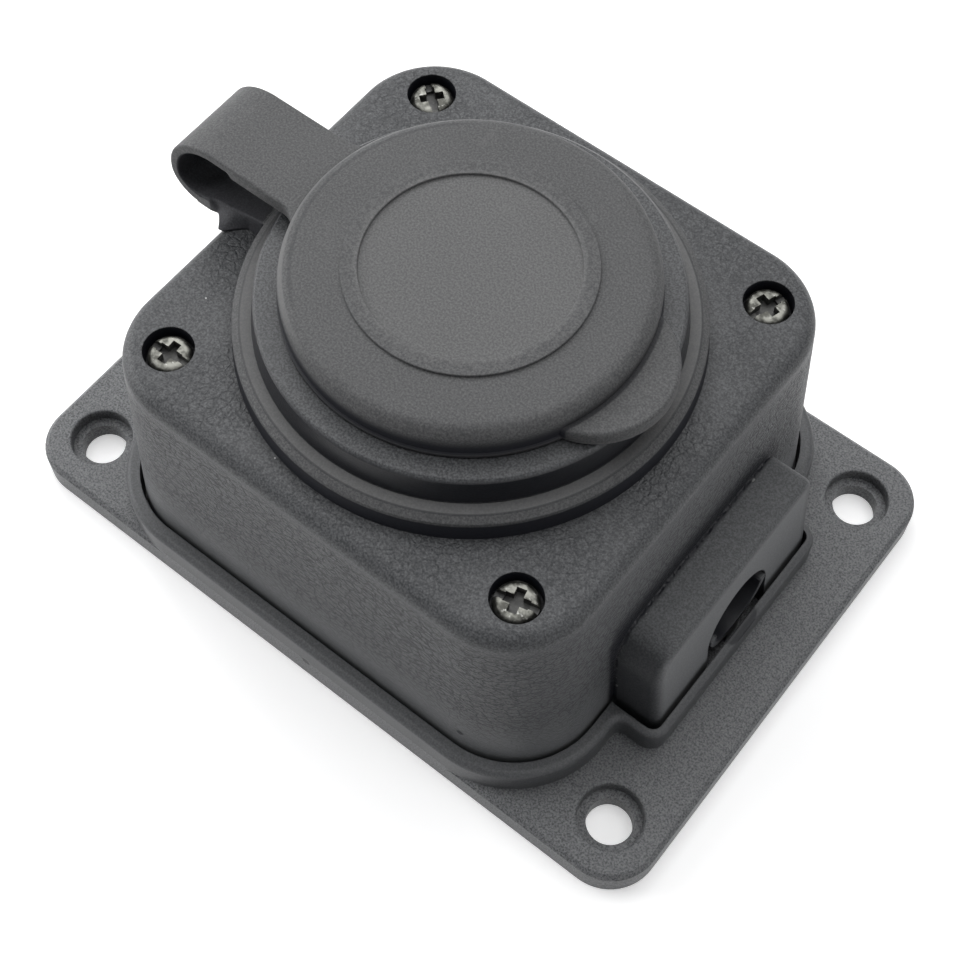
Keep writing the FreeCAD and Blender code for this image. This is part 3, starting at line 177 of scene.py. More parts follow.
# Shader maths: a value in a node tree, with the usual signs adding Math nodes.
class Val:
    def __init__(self, nodes, socket):
        self.nodes, self.socket = nodes, socket

    def sum(self, operation, *others):
        return self.nodes.node("ShaderNodeMath", {"operation": operation},
                               dict(enumerate((self,) + others)))

    def __add__(self, other): return self.sum("ADD", other)
    def __radd__(self, other): return self.sum("ADD", other)
    def __mul__(self, other): return self.sum("MULTIPLY", other)
    def __rmul__(self, other): return self.sum("MULTIPLY", other)
    def __sub__(self, other): return self.sum("SUBTRACT", other)
    def __rsub__(self, other): return (self * -1.0) + other
    def __truediv__(self, other): return self.sum("DIVIDE", other)
    def __rtruediv__(self, other): return (self ** -1.0) * other
    def __pow__(self, other): return self.sum("POWER", other)
    def __abs__(self): return self.sum("ABSOLUTE")
    def most(self, other): return self.sum("MAXIMUM", other)
    def root(self): return self.sum("SQRT")

    # Smooth step from 0 at low to 1 at high, or from 1 down to 0 where low is the greater.
    def step(self, low, high):
        start, end = (1.0, 0.0) if low > high else (0.0, 1.0)
        low, high = min(low, high), max(low, high)
        return self.nodes.node("ShaderNodeMapRange", {"interpolation_type": "SMOOTHSTEP"},
                               {"Value": self, "From Min": low, "From Max": high,
                                "To Min": start, "To Max": end})

    # 1 in a band, with a smooth step at either side.
    def band(self, rise, fall):
        return self.step(*rise) * self.step(*fall)


# Distance in a plane: root of a squared + b squared.
def distance(a, b):
    return (a * a + b * b).root()


# A colour times a share.
def dimmed(colour, share):
    return tuple(share * c for c in colour)


# The node tree of a material or a world, emptied.
class Nodes:
    def __init__(self, owner):
        owner.use_nodes = True
        self.tree = owner.node_tree
        self.tree.nodes.clear()

    # Any node: its type, its settings, and the values or links of its sockets.
    def node(self, kind, settings, inputs, out=0):
        made = self.tree.nodes.new(kind)
        for key, value in settings.items():
            setattr(made, key, value)
        for key, value in inputs.items():
            socket = made.inputs[key]
            if isinstance(value, Val):
                self.tree.links.new(value.socket, socket)
            else:
                socket.default_value = value
        return made if out is None else Val(self, made.outputs[out])


# A material of one Principled shader, with places in mm and the patterns that feed it.
class Look(Nodes):
    def __init__(self, name):
        self.material = bpy.data.materials.new(name)
        super().__init__(self.material)
        self.shader = self.node("ShaderNodeBsdfPrincipled", {}, {}, out=None)
        surface = {"Surface": Val(self, self.shader.outputs[0])}
        self.out = self.node("ShaderNodeOutputMaterial", {}, surface, out=None)
        self.place = self.node("ShaderNodeTexCoord", {}, {}, out="Object")
        parts = self.node("ShaderNodeSeparateXYZ", {}, {0: self.place}, out=None)
        self.x, self.y, self.z = [Val(self, parts.outputs[n]) * 1000.0 for n in range(3)]
        self.relX = self.x - axisX

    # Gives one input of the shader a value or a link.
    def feed(self, key, value):
        if isinstance(value, Val):
            self.tree.links.new(value.socket, self.shader.inputs[key])
        else:
            self.shader.inputs[key].default_value = value

    # The place, stretched along each axis.
    def scaled(self, x, y, z):
        return self.node("ShaderNodeVectorMath", {"operation": "MULTIPLY"},
                         {0: self.place, 1: (x, y, z)})

    # Noise from 0 to 1, with so many waves a metre.
    def noise(self, place, scale, detail=3.0, rough=0.55, out=0):
        return self.node("ShaderNodeTexNoise", {}, {"Vector": place, "Scale": scale,
                                                    "Detail": detail, "Roughness": rough}, out=out)

    # Cells, so many a metre: the distance to the next border, or with F1 to the next middle.
    def cells(self, place, scale, feature="DISTANCE_TO_EDGE"):
        return self.node("ShaderNodeTexVoronoi", {"feature": feature},
                         {"Vector": place, "Scale": scale})

    # A place moved by coloured noise, so that a pattern read there is less even.
    def wander(self, place, scale, reach, detail=2.0):
        colour = self.noise(place, scale, detail, out="Color")
        shift = self.node("ShaderNodeVectorMath", {"operation": "SUBTRACT"},
                          {0: colour, 1: (0.5, 0.5, 0.5)})
        return self.node("ShaderNodeVectorMath", {"operation": "MULTIPLY_ADD"},
                         {0: shift, 1: (reach, reach, reach), 2: place})

    # Colour: first + share * (second - first), the share held between 0 and 1.
    def mix(self, share, first, second):
        first, second = [c if isinstance(c, Val) else tuple(c) + (1.0,) for c in (first, second)]
        return self.node("ShaderNodeMix", {"data_type": "RGBA"},
                         {0: share, 6: first, 7: second}, out=2)

    # Distance from a point given in mm.
    def near(self, point):
        return self.node("ShaderNodeVectorMath", {"operation": "DISTANCE"},
                         {0: self.place, 1: tuple(c * mm for c in point)}, out="Value") * 1000.0

    # Height in mm over the surface, on top of edges softened by a small radius in mm.
    def relief(self, height, soften=0.0):
        inputs = {"Height": height, "Distance": mm, "Strength": 1.0}
        if soften:
            inputs["Normal"] = self.node("ShaderNodeBevel", {"samples": 4}, {"Radius": soften * mm})
        self.feed("Normal", self.node("ShaderNodeBump", {}, inputs))
        return self


# Gives CAD nodes the look, in place of the frame's own material.
def dress(names, look):
    for name in names:
        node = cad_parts[name]
        node.data.materials.clear()
        node.data.materials.append(look.material)


# Cover and base plate: grained plastic
plastic = {
    "colour": (0.042, 0.044, 0.047), "dark": (0.004, 0.005, 0.007), "pale": (0.118, 0.121, 0.126),
    # The bright tone serves pale grain and painted light; the near-black tone after it is painted
    # shade.
    "bright": (0.19, 0.195, 0.2), "paintedShade": (0.001, 0.0015, 0.004),
    "flashAndHighlight": (0.35, 0.35, 0.34), "dust": (0.6, 0.6, 0.6),
    "grain": 0.25, "roughness": 0.45, "specular": 0.3, "softEdge": 0.2,
}
leather = {
    "topCell": 1.15, "topCrease": 0.16, "topDepth": 0.055, "topShade": 0.45,
    "wallCell": 0.85, "wallCrease": 0.15, "wallDepth": 0.13, "wallShade": 0.5, "wallStretch": 1.7,
    "crestHighlight": 0.4, "crestHighlightEdge": ((0.45, 0.8), (1.0, 0.9)),
    "grainDepth": 0.02, "wallGrain": 0.03, "contrast": 2.55, "brightGrain": 0.42, "darkGrain": 0.5,
    # the two sizes of crease: cells a metre for a cell of 1 mm, how they are bent, and their shares
    "largeCells": 1000.0, "largeBend": (700.0, 0.0007, 1.0), "largeShare": 0.65,
    "smallCells": 2100.0, "smallBend": (1500.0, 0.0004, 1.0), "smallShare": 0.35, "smallWidth": 1.5,
    "patches": 130.0, "bareSpots": 75.0, "bareShare": (0.34, 0.62),
    "topBare": 0.75, "topLeast": 0.25, "wallPatch": 0.6, "wallLeast": 0.6, "grainRough": 0.6,
}
# Where the cover's marks lie, in mm. A pair says where a mask begins and where it is full; heights
# are over the wall, widths from the hood's middle, and reaches outwards from the +X wall, whose
# place is wallX - draft * height from the cover's axis.
coverZones = {
    "wallX": 35.73, "draft": 0.0729, "hoodY": 0.4,
    "topFlat": (38.0, 38.35), "wallTop": (36.8, 34.0), "wallFoot": (8.0, 19.0), "foot": (20.0, 9.0),
    "collarRadius": (25.9, 25.5), "collarHeight": (38.38, 38.42),
    "hoodReach": (0.15, 0.5), "hoodHeight": (22.9, 22.7), "hoodWidth": (17.6, 17.3),
    "hoodTopLight": (20.8, 22.3),
    "frontReach": (5.2, 6.0), "frontHeight": (22.3, 21.0), "frontWidth": (17.0, 14.5),
    "seamHeight": ((23.6, 23.0), (5.6, 8.0)), "seamWidth": (18.2, 17.2), "seamReach": -0.05,
    "seamHalf": (0.55, 0.35), "seamRagged": 0.5, "seamNoise": 500.0,
    "flashReach": 0.45, "flashHalf": (0.22, 0.12), "flashShare": (0.68, 0.71), "flashNoise": 800.0,
    "shadowHeight": ((28.2, 24.0), (22.3, 22.6)), "shadowWidth": (17.5, 16.0),
    "shadowReach": ((-1.5, -0.6), (0.9, 0.3)),
    "collarSideShade": ((41.95, 42.3), (45.75, 45.35)), "collarSideRadius": ((24.5, 24.8), (26.2, 26.0)),
    "screwX": 25.65, "screwY": 24.4, "screwRadius": (3.3, 3.15), "screwHeight": (38.4, 38.25),
    "archY": 1.1, "archHeight": 10.8, "archRadius": (6.42, 6.34), "archReach": (33.0, 34.0),
    "dust": [((-27.75, -16.4, 38.4), 0.14), ((-35.2, -10.5, 38.2), 0.09),
             ((-7.0, -27.6, 38.4), 0.13)],
    "pit": (23.4, -32.75, 11.6), "pitRadius": (0.6, 0.3), "pitDepth": 0.15,
}


# How far each part of the cover goes towards its pale, bright or dark tone or its painted shade,
# and by how much its roughness changes there; the foot and the hood's front and top take painted
# light, the hood's ends, the seam, the shadow, the pit, the collar's side, the arch and the
# recesses painted shade.
coverShares = {
    "patch": 0.84, "foot": 0.55, "hoodFrontLight": 0.5, "hoodTopLight": 0.14, "hoodEndShade": 0.7,
    "shadow": 0.95, "seamShade": 0.95, "flashAndHighlight": 0.5, "dust": 0.8, "pit": 0.9, "collarSideShade": 0.92,
    "arch": 0.9, "recess": 0.95,
    "creaseRough": 0.2, "hoodRough": 0.12, "collarGloss": 0.16, "footGloss": 0.1,
}


# Leather creases: borders of bent cells, 0 in a crease and 1 on a cell, at two sizes.
def creases(look, place, size, width):
    hide = leather
    large = look.cells(look.wander(place, *hide["largeBend"]), hide["largeCells"] / size)
    small = look.cells(look.wander(place, *hide["smallBend"]), hide["smallCells"] / size)
    large = large.step(0.0, width) * hide["largeShare"]
    return large + small.step(0.0, width * hide["smallWidth"]) * hide["smallShare"]


# Cover: cells lying flat on the walls and round ones on the top, both fading over the rounded
# edge, at the foot and at the collar and hood. Its tone is the plastic with grain, with painted
# shade in the creases, the seam and the recesses, and painted light on the crests, the foot and the
# hood.
def coverLook():
    p, hide, zone, share = plastic, leather, coverZones, coverShares
    look = Look("grainedCover")
    patch = look.noise(look.place, hide["patches"], 2.0)
    bare = look.noise(look.place, hide["bareSpots"], 1.0).step(*hide["bareShare"])
    grain = look.noise(look.place, 1000.0 / p["grain"], 2.0, hide["grainRough"])
    top = creases(look, look.place, hide["topCell"], hide["topCrease"])
    flat = 1.0 / hide["wallStretch"]
    wall = creases(look, look.scaled(flat, flat, 1.0), hide["wallCell"], hide["wallCrease"])
    radius = distance(look.relX, look.y)
    reach = look.relX + look.z * zone["draft"] - zone["wallX"]
    width = abs(look.y - zone["hoodY"])

    onCollar = radius.step(*zone["collarRadius"]) * look.z.step(*zone["collarHeight"])
    onHood = reach.step(*zone["hoodReach"]) * look.z.step(*zone["hoodHeight"])
    onHood = onHood * width.step(*zone["hoodWidth"])
    grained = (1.0 - onCollar) * (1.0 - onHood)
    topShare = look.z.step(*zone["topFlat"]) * grained
    topShare = topShare * (bare * hide["topBare"] + hide["topLeast"])
    wallShare = look.z.band(zone["wallTop"], zone["wallFoot"]) * grained
    wallShare = wallShare * (patch * hide["wallPatch"] + hide["wallLeast"])
    inTop, inWall = (1.0 - top) * topShare, (1.0 - wall) * wallShare
    # Painted shade darkens the creases of the top and of the wall.
    shade = inTop * hide["topShade"] + inWall * hide["wallShade"]

    tone = look.mix(patch, p["colour"], dimmed(p["colour"], share["patch"]))
    # Painted highlight on the crests beside the wall's creases.
    crestHighlight = wall.band(*hide["crestHighlightEdge"]) * wallShare
    tone = look.mix(crestHighlight * hide["crestHighlight"], tone, p["bright"])
    tone = look.mix((grain - hide["brightGrain"]) * hide["contrast"], tone, p["pale"])
    tone = look.mix((hide["darkGrain"] - grain) * hide["contrast"], tone, p["dark"])
    tone = look.mix(shade, tone, p["dark"])
    # Painted light lifts the wall's foot towards the bright tone where the lamps leave it dark.
    low = look.z.step(*zone["foot"]) * grained
    # Painted light on the hood's front face.
    frontLight = reach.step(*zone["frontReach"]) * look.z.step(*zone["frontHeight"])
    frontLight = frontLight * width.step(*zone["frontWidth"])
    # Painted light on the hood's top.
    lid = onHood * look.z.step(*zone["hoodTopLight"])
    paintedLight = (low * share["foot"]).most(frontLight * share["hoodFrontLight"])
    tone = look.mix(paintedLight, tone, p["bright"])
    tone = look.mix(lid * share["hoodTopLight"], tone, p["bright"])
    # Painted shade on the hood's ends and sides below its top.
    tone = look.mix((onHood - lid) * (1.0 - frontLight) * share["hoodEndShade"], tone, p["dark"])

    # Painted shade in a ragged line where the hood meets the wall, a painted shadow over it, and
    # bits of pale flash.
    ragged = look.noise(look.place, zone["seamNoise"], 4.0)
    along = look.z.band(*zone["seamHeight"]) * width.step(*zone["seamWidth"])
    fromSeam = abs(reach - zone["seamReach"] + (ragged - zone["seamRagged"]))
    seamShade = fromSeam.step(*zone["seamHalf"]) * along
    above = look.z.band(*zone["shadowHeight"]) * width.step(*zone["shadowWidth"])
    above = above * reach.band(*zone["shadowReach"])
    dark = seamShade.most(above * share["shadow"]) * share["seamShade"]
    tone = look.mix(dark, tone, p["paintedShade"])
    flashAndHighlight = look.noise(look.place, zone["flashNoise"], 1.0).step(*zone["flashShare"])
    flashAndHighlight = flashAndHighlight * abs(reach - zone["flashReach"]).step(*zone["flashHalf"]) * along
    tone = look.mix(flashAndHighlight * share["flashAndHighlight"], tone, p["flashAndHighlight"])

    # Specks of dust, and painted shade in a pit of the mould, on the collar's side, in the screw
    # recesses and in the cable arch.
    for spot, size in zone["dust"]:
        speck = look.near(spot).step(size, size * 0.5) * share["dust"]
        tone = look.mix(speck, tone, p["dust"])
    # The mould pit is darkened as painted shade.
    pit = look.near(zone["pit"]).step(*zone["pitRadius"])
    tone = look.mix(pit * share["pit"], tone, p["paintedShade"])
    # Painted shade on the collar's side.
    side = look.z.band(*zone["collarSideShade"]) * radius.band(*zone["collarSideRadius"])
    tone = look.mix(side * share["collarSideShade"], tone, p["paintedShade"])
    # Painted shade in the screw recesses and in the cable arch.
    fromScrew = distance(abs(look.relX) - zone["screwX"], abs(look.y) - zone["screwY"])
    recess = fromScrew.step(*zone["screwRadius"]) * look.z.step(*zone["screwHeight"])
    fromArch = distance(look.y - zone["archY"], (look.z - zone["archHeight"]).most(0.0))
    arch = fromArch.step(*zone["archRadius"]) * look.relX.step(*zone["archReach"])
    inside = recess.most(arch * share["arch"]) * share["recess"]
    tone = look.mix(inside, tone, p["paintedShade"])

    look.feed("Base Color", tone)
    gloss = side * share["collarGloss"] + low * share["footGloss"]
    rough = shade * share["creaseRough"] + onHood * share["hoodRough"]
    look.feed("Roughness", rough - gloss + p["roughness"])
    look.feed("Specular IOR Level", p["specular"])
    high = grain * hide["grainDepth"] + grain * wallShare * hide["wallGrain"]
    sunk = inTop * hide["topDepth"] + inWall * hide["wallDepth"] + pit * zone["pitDepth"]
    return look.relief(high - sunk, soften=p["softEdge"])


plate = {
    "wingHeight": (4.6, 4.2), "wingPale": 0.55, "pale": 0.3,
    "wingContrast": 2.8, "contrast": 1.0, "brightGrain": 0.45, "darkGrain": 0.5,
    "patches": 70.0, "patchShade": 0.85,
    "scuffs": 260.0, "scuffEdge": (0.6, 0.8), "scuffShare": 0.3,
    "grainRough": 0.65, "wingDepth": 0.045, "depth": 0.012,
    "roughness": 0.38, "scuffRough": 0.12, "paintedShadeShare": 0.9,
    "dent": (0.35, -35.25, 4.2), "dentRadius": (0.8, 0.4), "dentDepth": 0.1,
    "troughY": 1.1, "troughHeight": 12.5, "troughRadius": (5.2, 4.9), "troughReach": (27.0, 28.0),
}


# Base plate: fine spark grain, strongest on the wings, faint pale scuffs, and painted shade in a
# small dent and in the cable trough.
def plateLook():
    p = plastic
    look = Look("basePlate")
    spark = look.noise(look.place, 1000.0 / p["grain"], 2.0, plate["grainRough"])
    patch = look.noise(look.place, plate["patches"], 2.0)
    scuff = look.noise(look.place, plate["scuffs"], 4.0)
    wing = look.z.step(*plate["wingHeight"])
    contrast = wing * plate["wingContrast"] + plate["contrast"]
    tone = look.mix(patch, p["colour"], dimmed(p["colour"], plate["patchShade"]))
    tone = look.mix(wing * plate["wingPale"] + plate["pale"], tone, p["pale"])
    scuffed = scuff.step(*plate["scuffEdge"]) * plate["scuffShare"]
    tone = look.mix(scuffed, tone, p["pale"])
    tone = look.mix((spark - plate["brightGrain"]) * contrast, tone, p["bright"])
    tone = look.mix((plate["darkGrain"] - spark) * contrast, tone, p["dark"])
    # Painted shade in the dent and in the cable trough.
    dent = look.near(plate["dent"]).step(*plate["dentRadius"])
    fromTrough = distance(look.y - plate["troughY"], look.z - plate["troughHeight"])
    trough = fromTrough.step(*plate["troughRadius"]) * look.relX.step(*plate["troughReach"])
    tone = look.mix(dent.most(trough) * plate["paintedShadeShare"], tone, p["paintedShade"])
    look.feed("Base Color", tone)
    look.feed("Roughness", scuff * plate["scuffRough"] + plate["roughness"])
    look.feed("Specular IOR Level", p["specular"])
    height = spark * (wing * plate["wingDepth"] + plate["depth"]) - dent * plate["dentDepth"]
    return look.relief(height, soften=p["softEdge"])


dress(["cover_housing"], coverLook())
dress(["base_plate"], plateLook())
print("cover and plate dressed")


# Cap, strap and ring: one rubber moulding
rubber = {
    # The second tone serves wear, pale grain and painted highlights; the fourth, near black, is
    # painted shade; the last, pale tone is a painted highlight at the cap's foot.
    "colour": (0.081, 0.082, 0.084), "wornAndHighlight": (0.162, 0.162, 0.162), "dark": (0.022, 0.023, 0.026),
    "paintedShade": (0.0015, 0.002, 0.005), "inner": (0.03, 0.0305, 0.034), "foot": (0.2, 0.2, 0.2),
    "grain": 0.25, "grainDepth": 0.016, "panelDepth": 0.015, "contrast": 1.9, "panelContrast": 0.9,
    "brightGrain": 0.45, "darkGrain": 0.5, "grainRough": 0.65,
    "clouds": 95.0, "cloudShade": 0.86,
    "smears": 240.0, "smearBend": (60.0, 0.01), "smearEdge": (0.6, 0.78),
    "roughness": 0.55, "innerRoughness": 0.6, "unevenness": 0.1, "specular": 0.2,
    "innerPatches": (0.35, 0.7), "innerPale": 1.6,
}
# Where the rubber's marks lie, in mm: radii from the cover's axis, heights, and places along X,
# each pair from where a mask begins to where it is full.
rubberZones = {
    "panelRadius": (13.4, 12.7), "panelHeight": (50.2, 50.4),
    "capFoot": (45.95, 46.1),
    "footHighlightHeight": (46.55, 46.4), "footHighlightRadius": (21.8, 21.95),
    "sideHeight": (49.4, 47.4), "sideRadius": ((21.3, 21.5), (22.4, 22.15)),
    "rimRadius": ((20.9, 21.15), (21.7, 21.5)), "rimHeight": (48.8, 49.1), "rimX": (-6.0, -14.0),
    "rimShadeRadius": 20.2, "rimShadeHalf": (0.3, 0.1), "rimShadeHeight": (50.0, 50.3), "rimShadeX": (-10.0, -15.0),
    "ringSideHeight": (41.0, 40.7), "ringSideRadius": (27.3, 27.5), "ringEdge": (28.3, 28.1),
    "ringSideX": (-30.0, -27.0),
    "ringTopHeight": ((41.8, 41.88), (42.2, 42.0)), "ringTopRadius": (26.9, 26.7),
    "cornerRadius": 26.78, "cornerHalf": (0.18, 0.06), "cornerHeight": ((41.5, 41.6), (42.2, 42.0)),
}


# How far each mark of the rubber goes towards its worn and highlight tone, its dark tone or its
# painted shade.
rubberShares = {
    "smear": 0.2, "side": 0.95, "flashAndHighlight": 0.15, "rim": 0.6, "rimShade": 0.35, "ringTop": 0.5,
    "panel": 0.3, "corner": 0.55, "ringSideShade": 0.95,
}


# Rubber: fine matte grain, coarser inside the raised ring, cloudy wear, painted highlights on the
# rim towards the strap, on the cap's foot and on the ring's top, painted shade in lines beside the
# rim and on the ring's corner, and painted shade on the sides of the cap and of the ring.
def rubberLook(name):
    p, zone, share = rubber, rubberZones, rubberShares
    look = Look(name)
    grain = look.noise(look.place, 1000.0 / p["grain"], 2.0, p["grainRough"])
    cloud = look.noise(look.place, p["clouds"], 3.0)
    smear = look.noise(look.wander(look.place, *p["smearBend"]), p["smears"], 4.0)
    radius = distance(look.relX, look.y)
    panel = radius.step(*zone["panelRadius"]) * look.z.step(*zone["panelHeight"])
    contrast = panel * p["panelContrast"] + p["contrast"]
    tone = look.mix(cloud, p["colour"], dimmed(p["colour"], p["cloudShade"]))
    tone = look.mix(smear.step(*p["smearEdge"]) * share["smear"], tone, p["wornAndHighlight"])
    tone = look.mix((grain - p["brightGrain"]) * contrast, tone, p["wornAndHighlight"])
    tone = look.mix((p["darkGrain"] - grain) * contrast, tone, p["dark"])

    overFoot = look.z.step(*zone["capFoot"])
    # Painted shade on the cap's side.
    side = look.z.step(*zone["sideHeight"]) * overFoot * radius.band(*zone["sideRadius"])
    tone = look.mix(side * share["side"], tone, p["paintedShade"])
    # Painted highlight along the edge of the cap's foot.
    flashAndHighlight = look.z.step(*zone["footHighlightHeight"]) * overFoot * radius.step(*zone["footHighlightRadius"])
    tone = look.mix(flashAndHighlight * share["flashAndHighlight"], tone, p["foot"])
    # Painted highlight on the cap's rounded rim towards the strap.
    rim = radius.band(*zone["rimRadius"]) * look.z.step(*zone["rimHeight"])
    tone = look.mix(rim * look.relX.step(*zone["rimX"]) * share["rim"], tone, p["wornAndHighlight"])
    # Painted shade in a dark line inside the highlighted rim.
    rimShade = abs(radius - zone["rimShadeRadius"]).step(*zone["rimShadeHalf"])
    rimShade = rimShade * look.z.step(*zone["rimShadeHeight"]) * look.relX.step(*zone["rimShadeX"])
    tone = look.mix(rimShade * share["rimShade"], tone, p["dark"])

    # Painted light on the ring's top.
    ringTop = look.z.band(*zone["ringTopHeight"]) * radius.step(*zone["ringTopRadius"])
    tone = look.mix(ringTop * share["ringTop"], tone, p["wornAndHighlight"])
    tone = look.mix(panel * share["panel"], tone, p["wornAndHighlight"])
    # Painted shade in a dark line along the ring's top corner.
    corner = abs(radius - zone["cornerRadius"]).step(*zone["cornerHalf"])
    corner = corner * look.z.band(*zone["cornerHeight"])
    tone = look.mix(corner * share["corner"], tone, p["dark"])
    # Painted shade on the ring's side.
    ringSideShade = look.z.step(*zone["ringSideHeight"]) * radius.step(*zone["ringSideRadius"])
    ringSideShade = ringSideShade * look.relX.step(*zone["ringSideX"])
    tone = look.mix(ringSideShade * share["ringSideShade"], tone, p["paintedShade"])

    look.feed("Base Color", tone)
    look.feed("Roughness", cloud * p["unevenness"] + p["roughness"])
    look.feed("Specular IOR Level", p["specular"])
    return look.relief(grain * (panel * p["panelDepth"] + p["grainDepth"]))


# Inner faces of the loop: the same rubber, darkened as painted shade, with painted shade on the
# ring's side as outside.
def rubberInside(name):
    p, zone = rubber, rubberZones
    look = Look(name)
    grain = look.noise(look.place, 1000.0 / p["grain"], 2.0, p["grainRough"])
    radius = distance(look.relX, look.y)
    ringSideShade = radius.band(zone["ringSideRadius"], zone["ringEdge"])
    ringSideShade = ringSideShade * look.z.step(*zone["ringSideHeight"])
    patches = grain.step(*p["innerPatches"])
    tone = look.mix(patches, p["inner"], dimmed(p["inner"], p["innerPale"]))
    tone = look.mix(ringSideShade * rubberShares["ringSideShade"], tone, p["paintedShade"])
    look.feed("Base Color", tone)
    look.feed("Roughness", grain * p["unevenness"] + p["innerRoughness"])
    look.feed("Specular IOR Level", p["specular"])
    return look.relief(grain * p["grainDepth"])


cap = {
    # (radius, height, rounding) from the middle of the underside round to the middle of the top
    "profile": [(0, 48.0, 0), (17.2, 48.0, 0.6), (17.2, 40.8, 0.3), (18.8, 40.8, 0.3),
                (19.2, 41.3, 0.3), (19.2, 46.0, 0.3), (22.0, 46.0, 0.12), (22.0, 46.4, 0.12),
                (21.75, 46.65, 0.12), (21.75, 50.5, 1.8), (14.6, 50.5, 0.1), (14.6, 50.9, 0.15),
                (12.6, 50.9, 0.15), (12.6, 50.5, 0.1), (0, 50.5, 0)],
    "tabProfile": [(0, 46.0, 0), (9.65, 46.0, 0.15), (9.65, 48.05, 0.5), (0, 48.05, 0)],
    "tabX": 17.3, "step": 1.2, "tabStep": 1.0, "tabTurns": 128,
}


# Cap: a lathe profile for disc and sealing skirt, and a second one beside the middle for the tab.
def makeCap():
    profile = roundedLine(cap["profile"], steps=8)
    disc = latheGrid(evenLine(profile, cap["step"]))
    profile = roundedLine(cap["tabProfile"])
    tab = latheGrid(evenLine(profile, cap["tabStep"]), (axisX + cap["tabX"], 0), cap["tabTurns"])
    piece = gridMesh("rubberCap", [(disc, False, True), (tab, False, True)])
    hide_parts("cap_lid")
    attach(piece, "cap")
    return piece


strap = {
    "halfWidth": 5.85, "edge": 0.3,
    # stations of the straight run along X: from, to, how many
    "runs": [(-20.4, -30.9, 30), (-31.0, -31.8, 8), (-32.2, -34.0, 4)],
    "top": 49.0, "under": 46.9, "rise": 0.8, "riseX": (-31.0, -31.8),
    "flare": 1.45, "flareX": (-23.0, -20.4), "flarePower": 2.1,
    "bend": (-34.0, 41.0), "bendOut": (8.0, 8.0), "bendIn": (6.7, 6.7), "bendSteps": 26,
    "back": (-38.02, 41.0), "backOut": (3.98, 4.0), "backIn": (2.68, 2.3), "backSteps": 20,
    "endOut": (-37.3, 37.03), "endIn": (-37.3, 38.83), "endNarrow": 0.02,
}


# Strap: an outer and an inner line of a straight run and quarter ellipses at matching stations.
# It starts inside the cap, where it flares as a power of x, and ends a little inside the tongue.
def makeStrap():
    s = strap
    x = np.concatenate([np.linspace(*run) for run in s["runs"]])
    fromCap = (x - s["flareX"][0]) / (s["flareX"][1] - s["flareX"][0])
    flare = s["flare"] * np.clip(fromCap, 0, 1) ** s["flarePower"]
    top = np.stack([x, s["top"] + 0 * x], -1)
    under = np.stack([x, s["under"] + s["rise"] * smooth(x, *s["riseX"])], -1)
    outer = np.concatenate([top, quarterArc(s["bend"], s["bendOut"], s["bendSteps"]),
                            quarterArc(s["back"], s["backOut"], s["backSteps"], lower=True),
                            [s["endOut"]]])
    inner = np.concatenate([under, quarterArc(s["bend"], s["bendIn"], s["bendSteps"]),
                            quarterArc(s["back"], s["backIn"], s["backSteps"], lower=True),
                            [s["endIn"]]])
    halfWidth = np.full(len(outer), s["halfWidth"])
    halfWidth[:len(flare)] += flare
    halfWidth[-1] -= s["endNarrow"]
    band = bandGrid(outer, inner, halfWidth, s["edge"])
    piece = gridMesh("rubberStrap", [(band, False, True)])
    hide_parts("cap_strap")
    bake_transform(piece)
    return piece


ring = {
    "profile": [(24.45, 38.4, 0.1), (28.0, 38.4, 0.1), (27.7, 41.3, 0.2), (26.7, 41.9, 0.25),
                (24.45, 41.9, 0.1)],
    "step": 1.0,
}
tongue = {
    "end": (-38.35, -38.1), "run": (-37.9, -26.0, 72), "endX": -38.0,
    "top": 38.7, "rise": 0.225, "endLow": 0.012, "endNarrow": 0.01,
    "underX": [-38.35, -38.0, -36.2, -32.2, -26.0], "under": [37.03, 37.0, 37.0, 38.45, 38.45],
    "swellHalf": 8.0, "swellX": [-34.9, -32.75, -31.9, -29.7], "swell": [0, 1, 1, 0],
    "swellPower": 1.3, "thinX": (-36.2, -34.4), "thinEdge": 0.22, "flankIn": 0.5,
    "across": [(0, 0.55, 8), (0.58, 1.0, 22)],
}


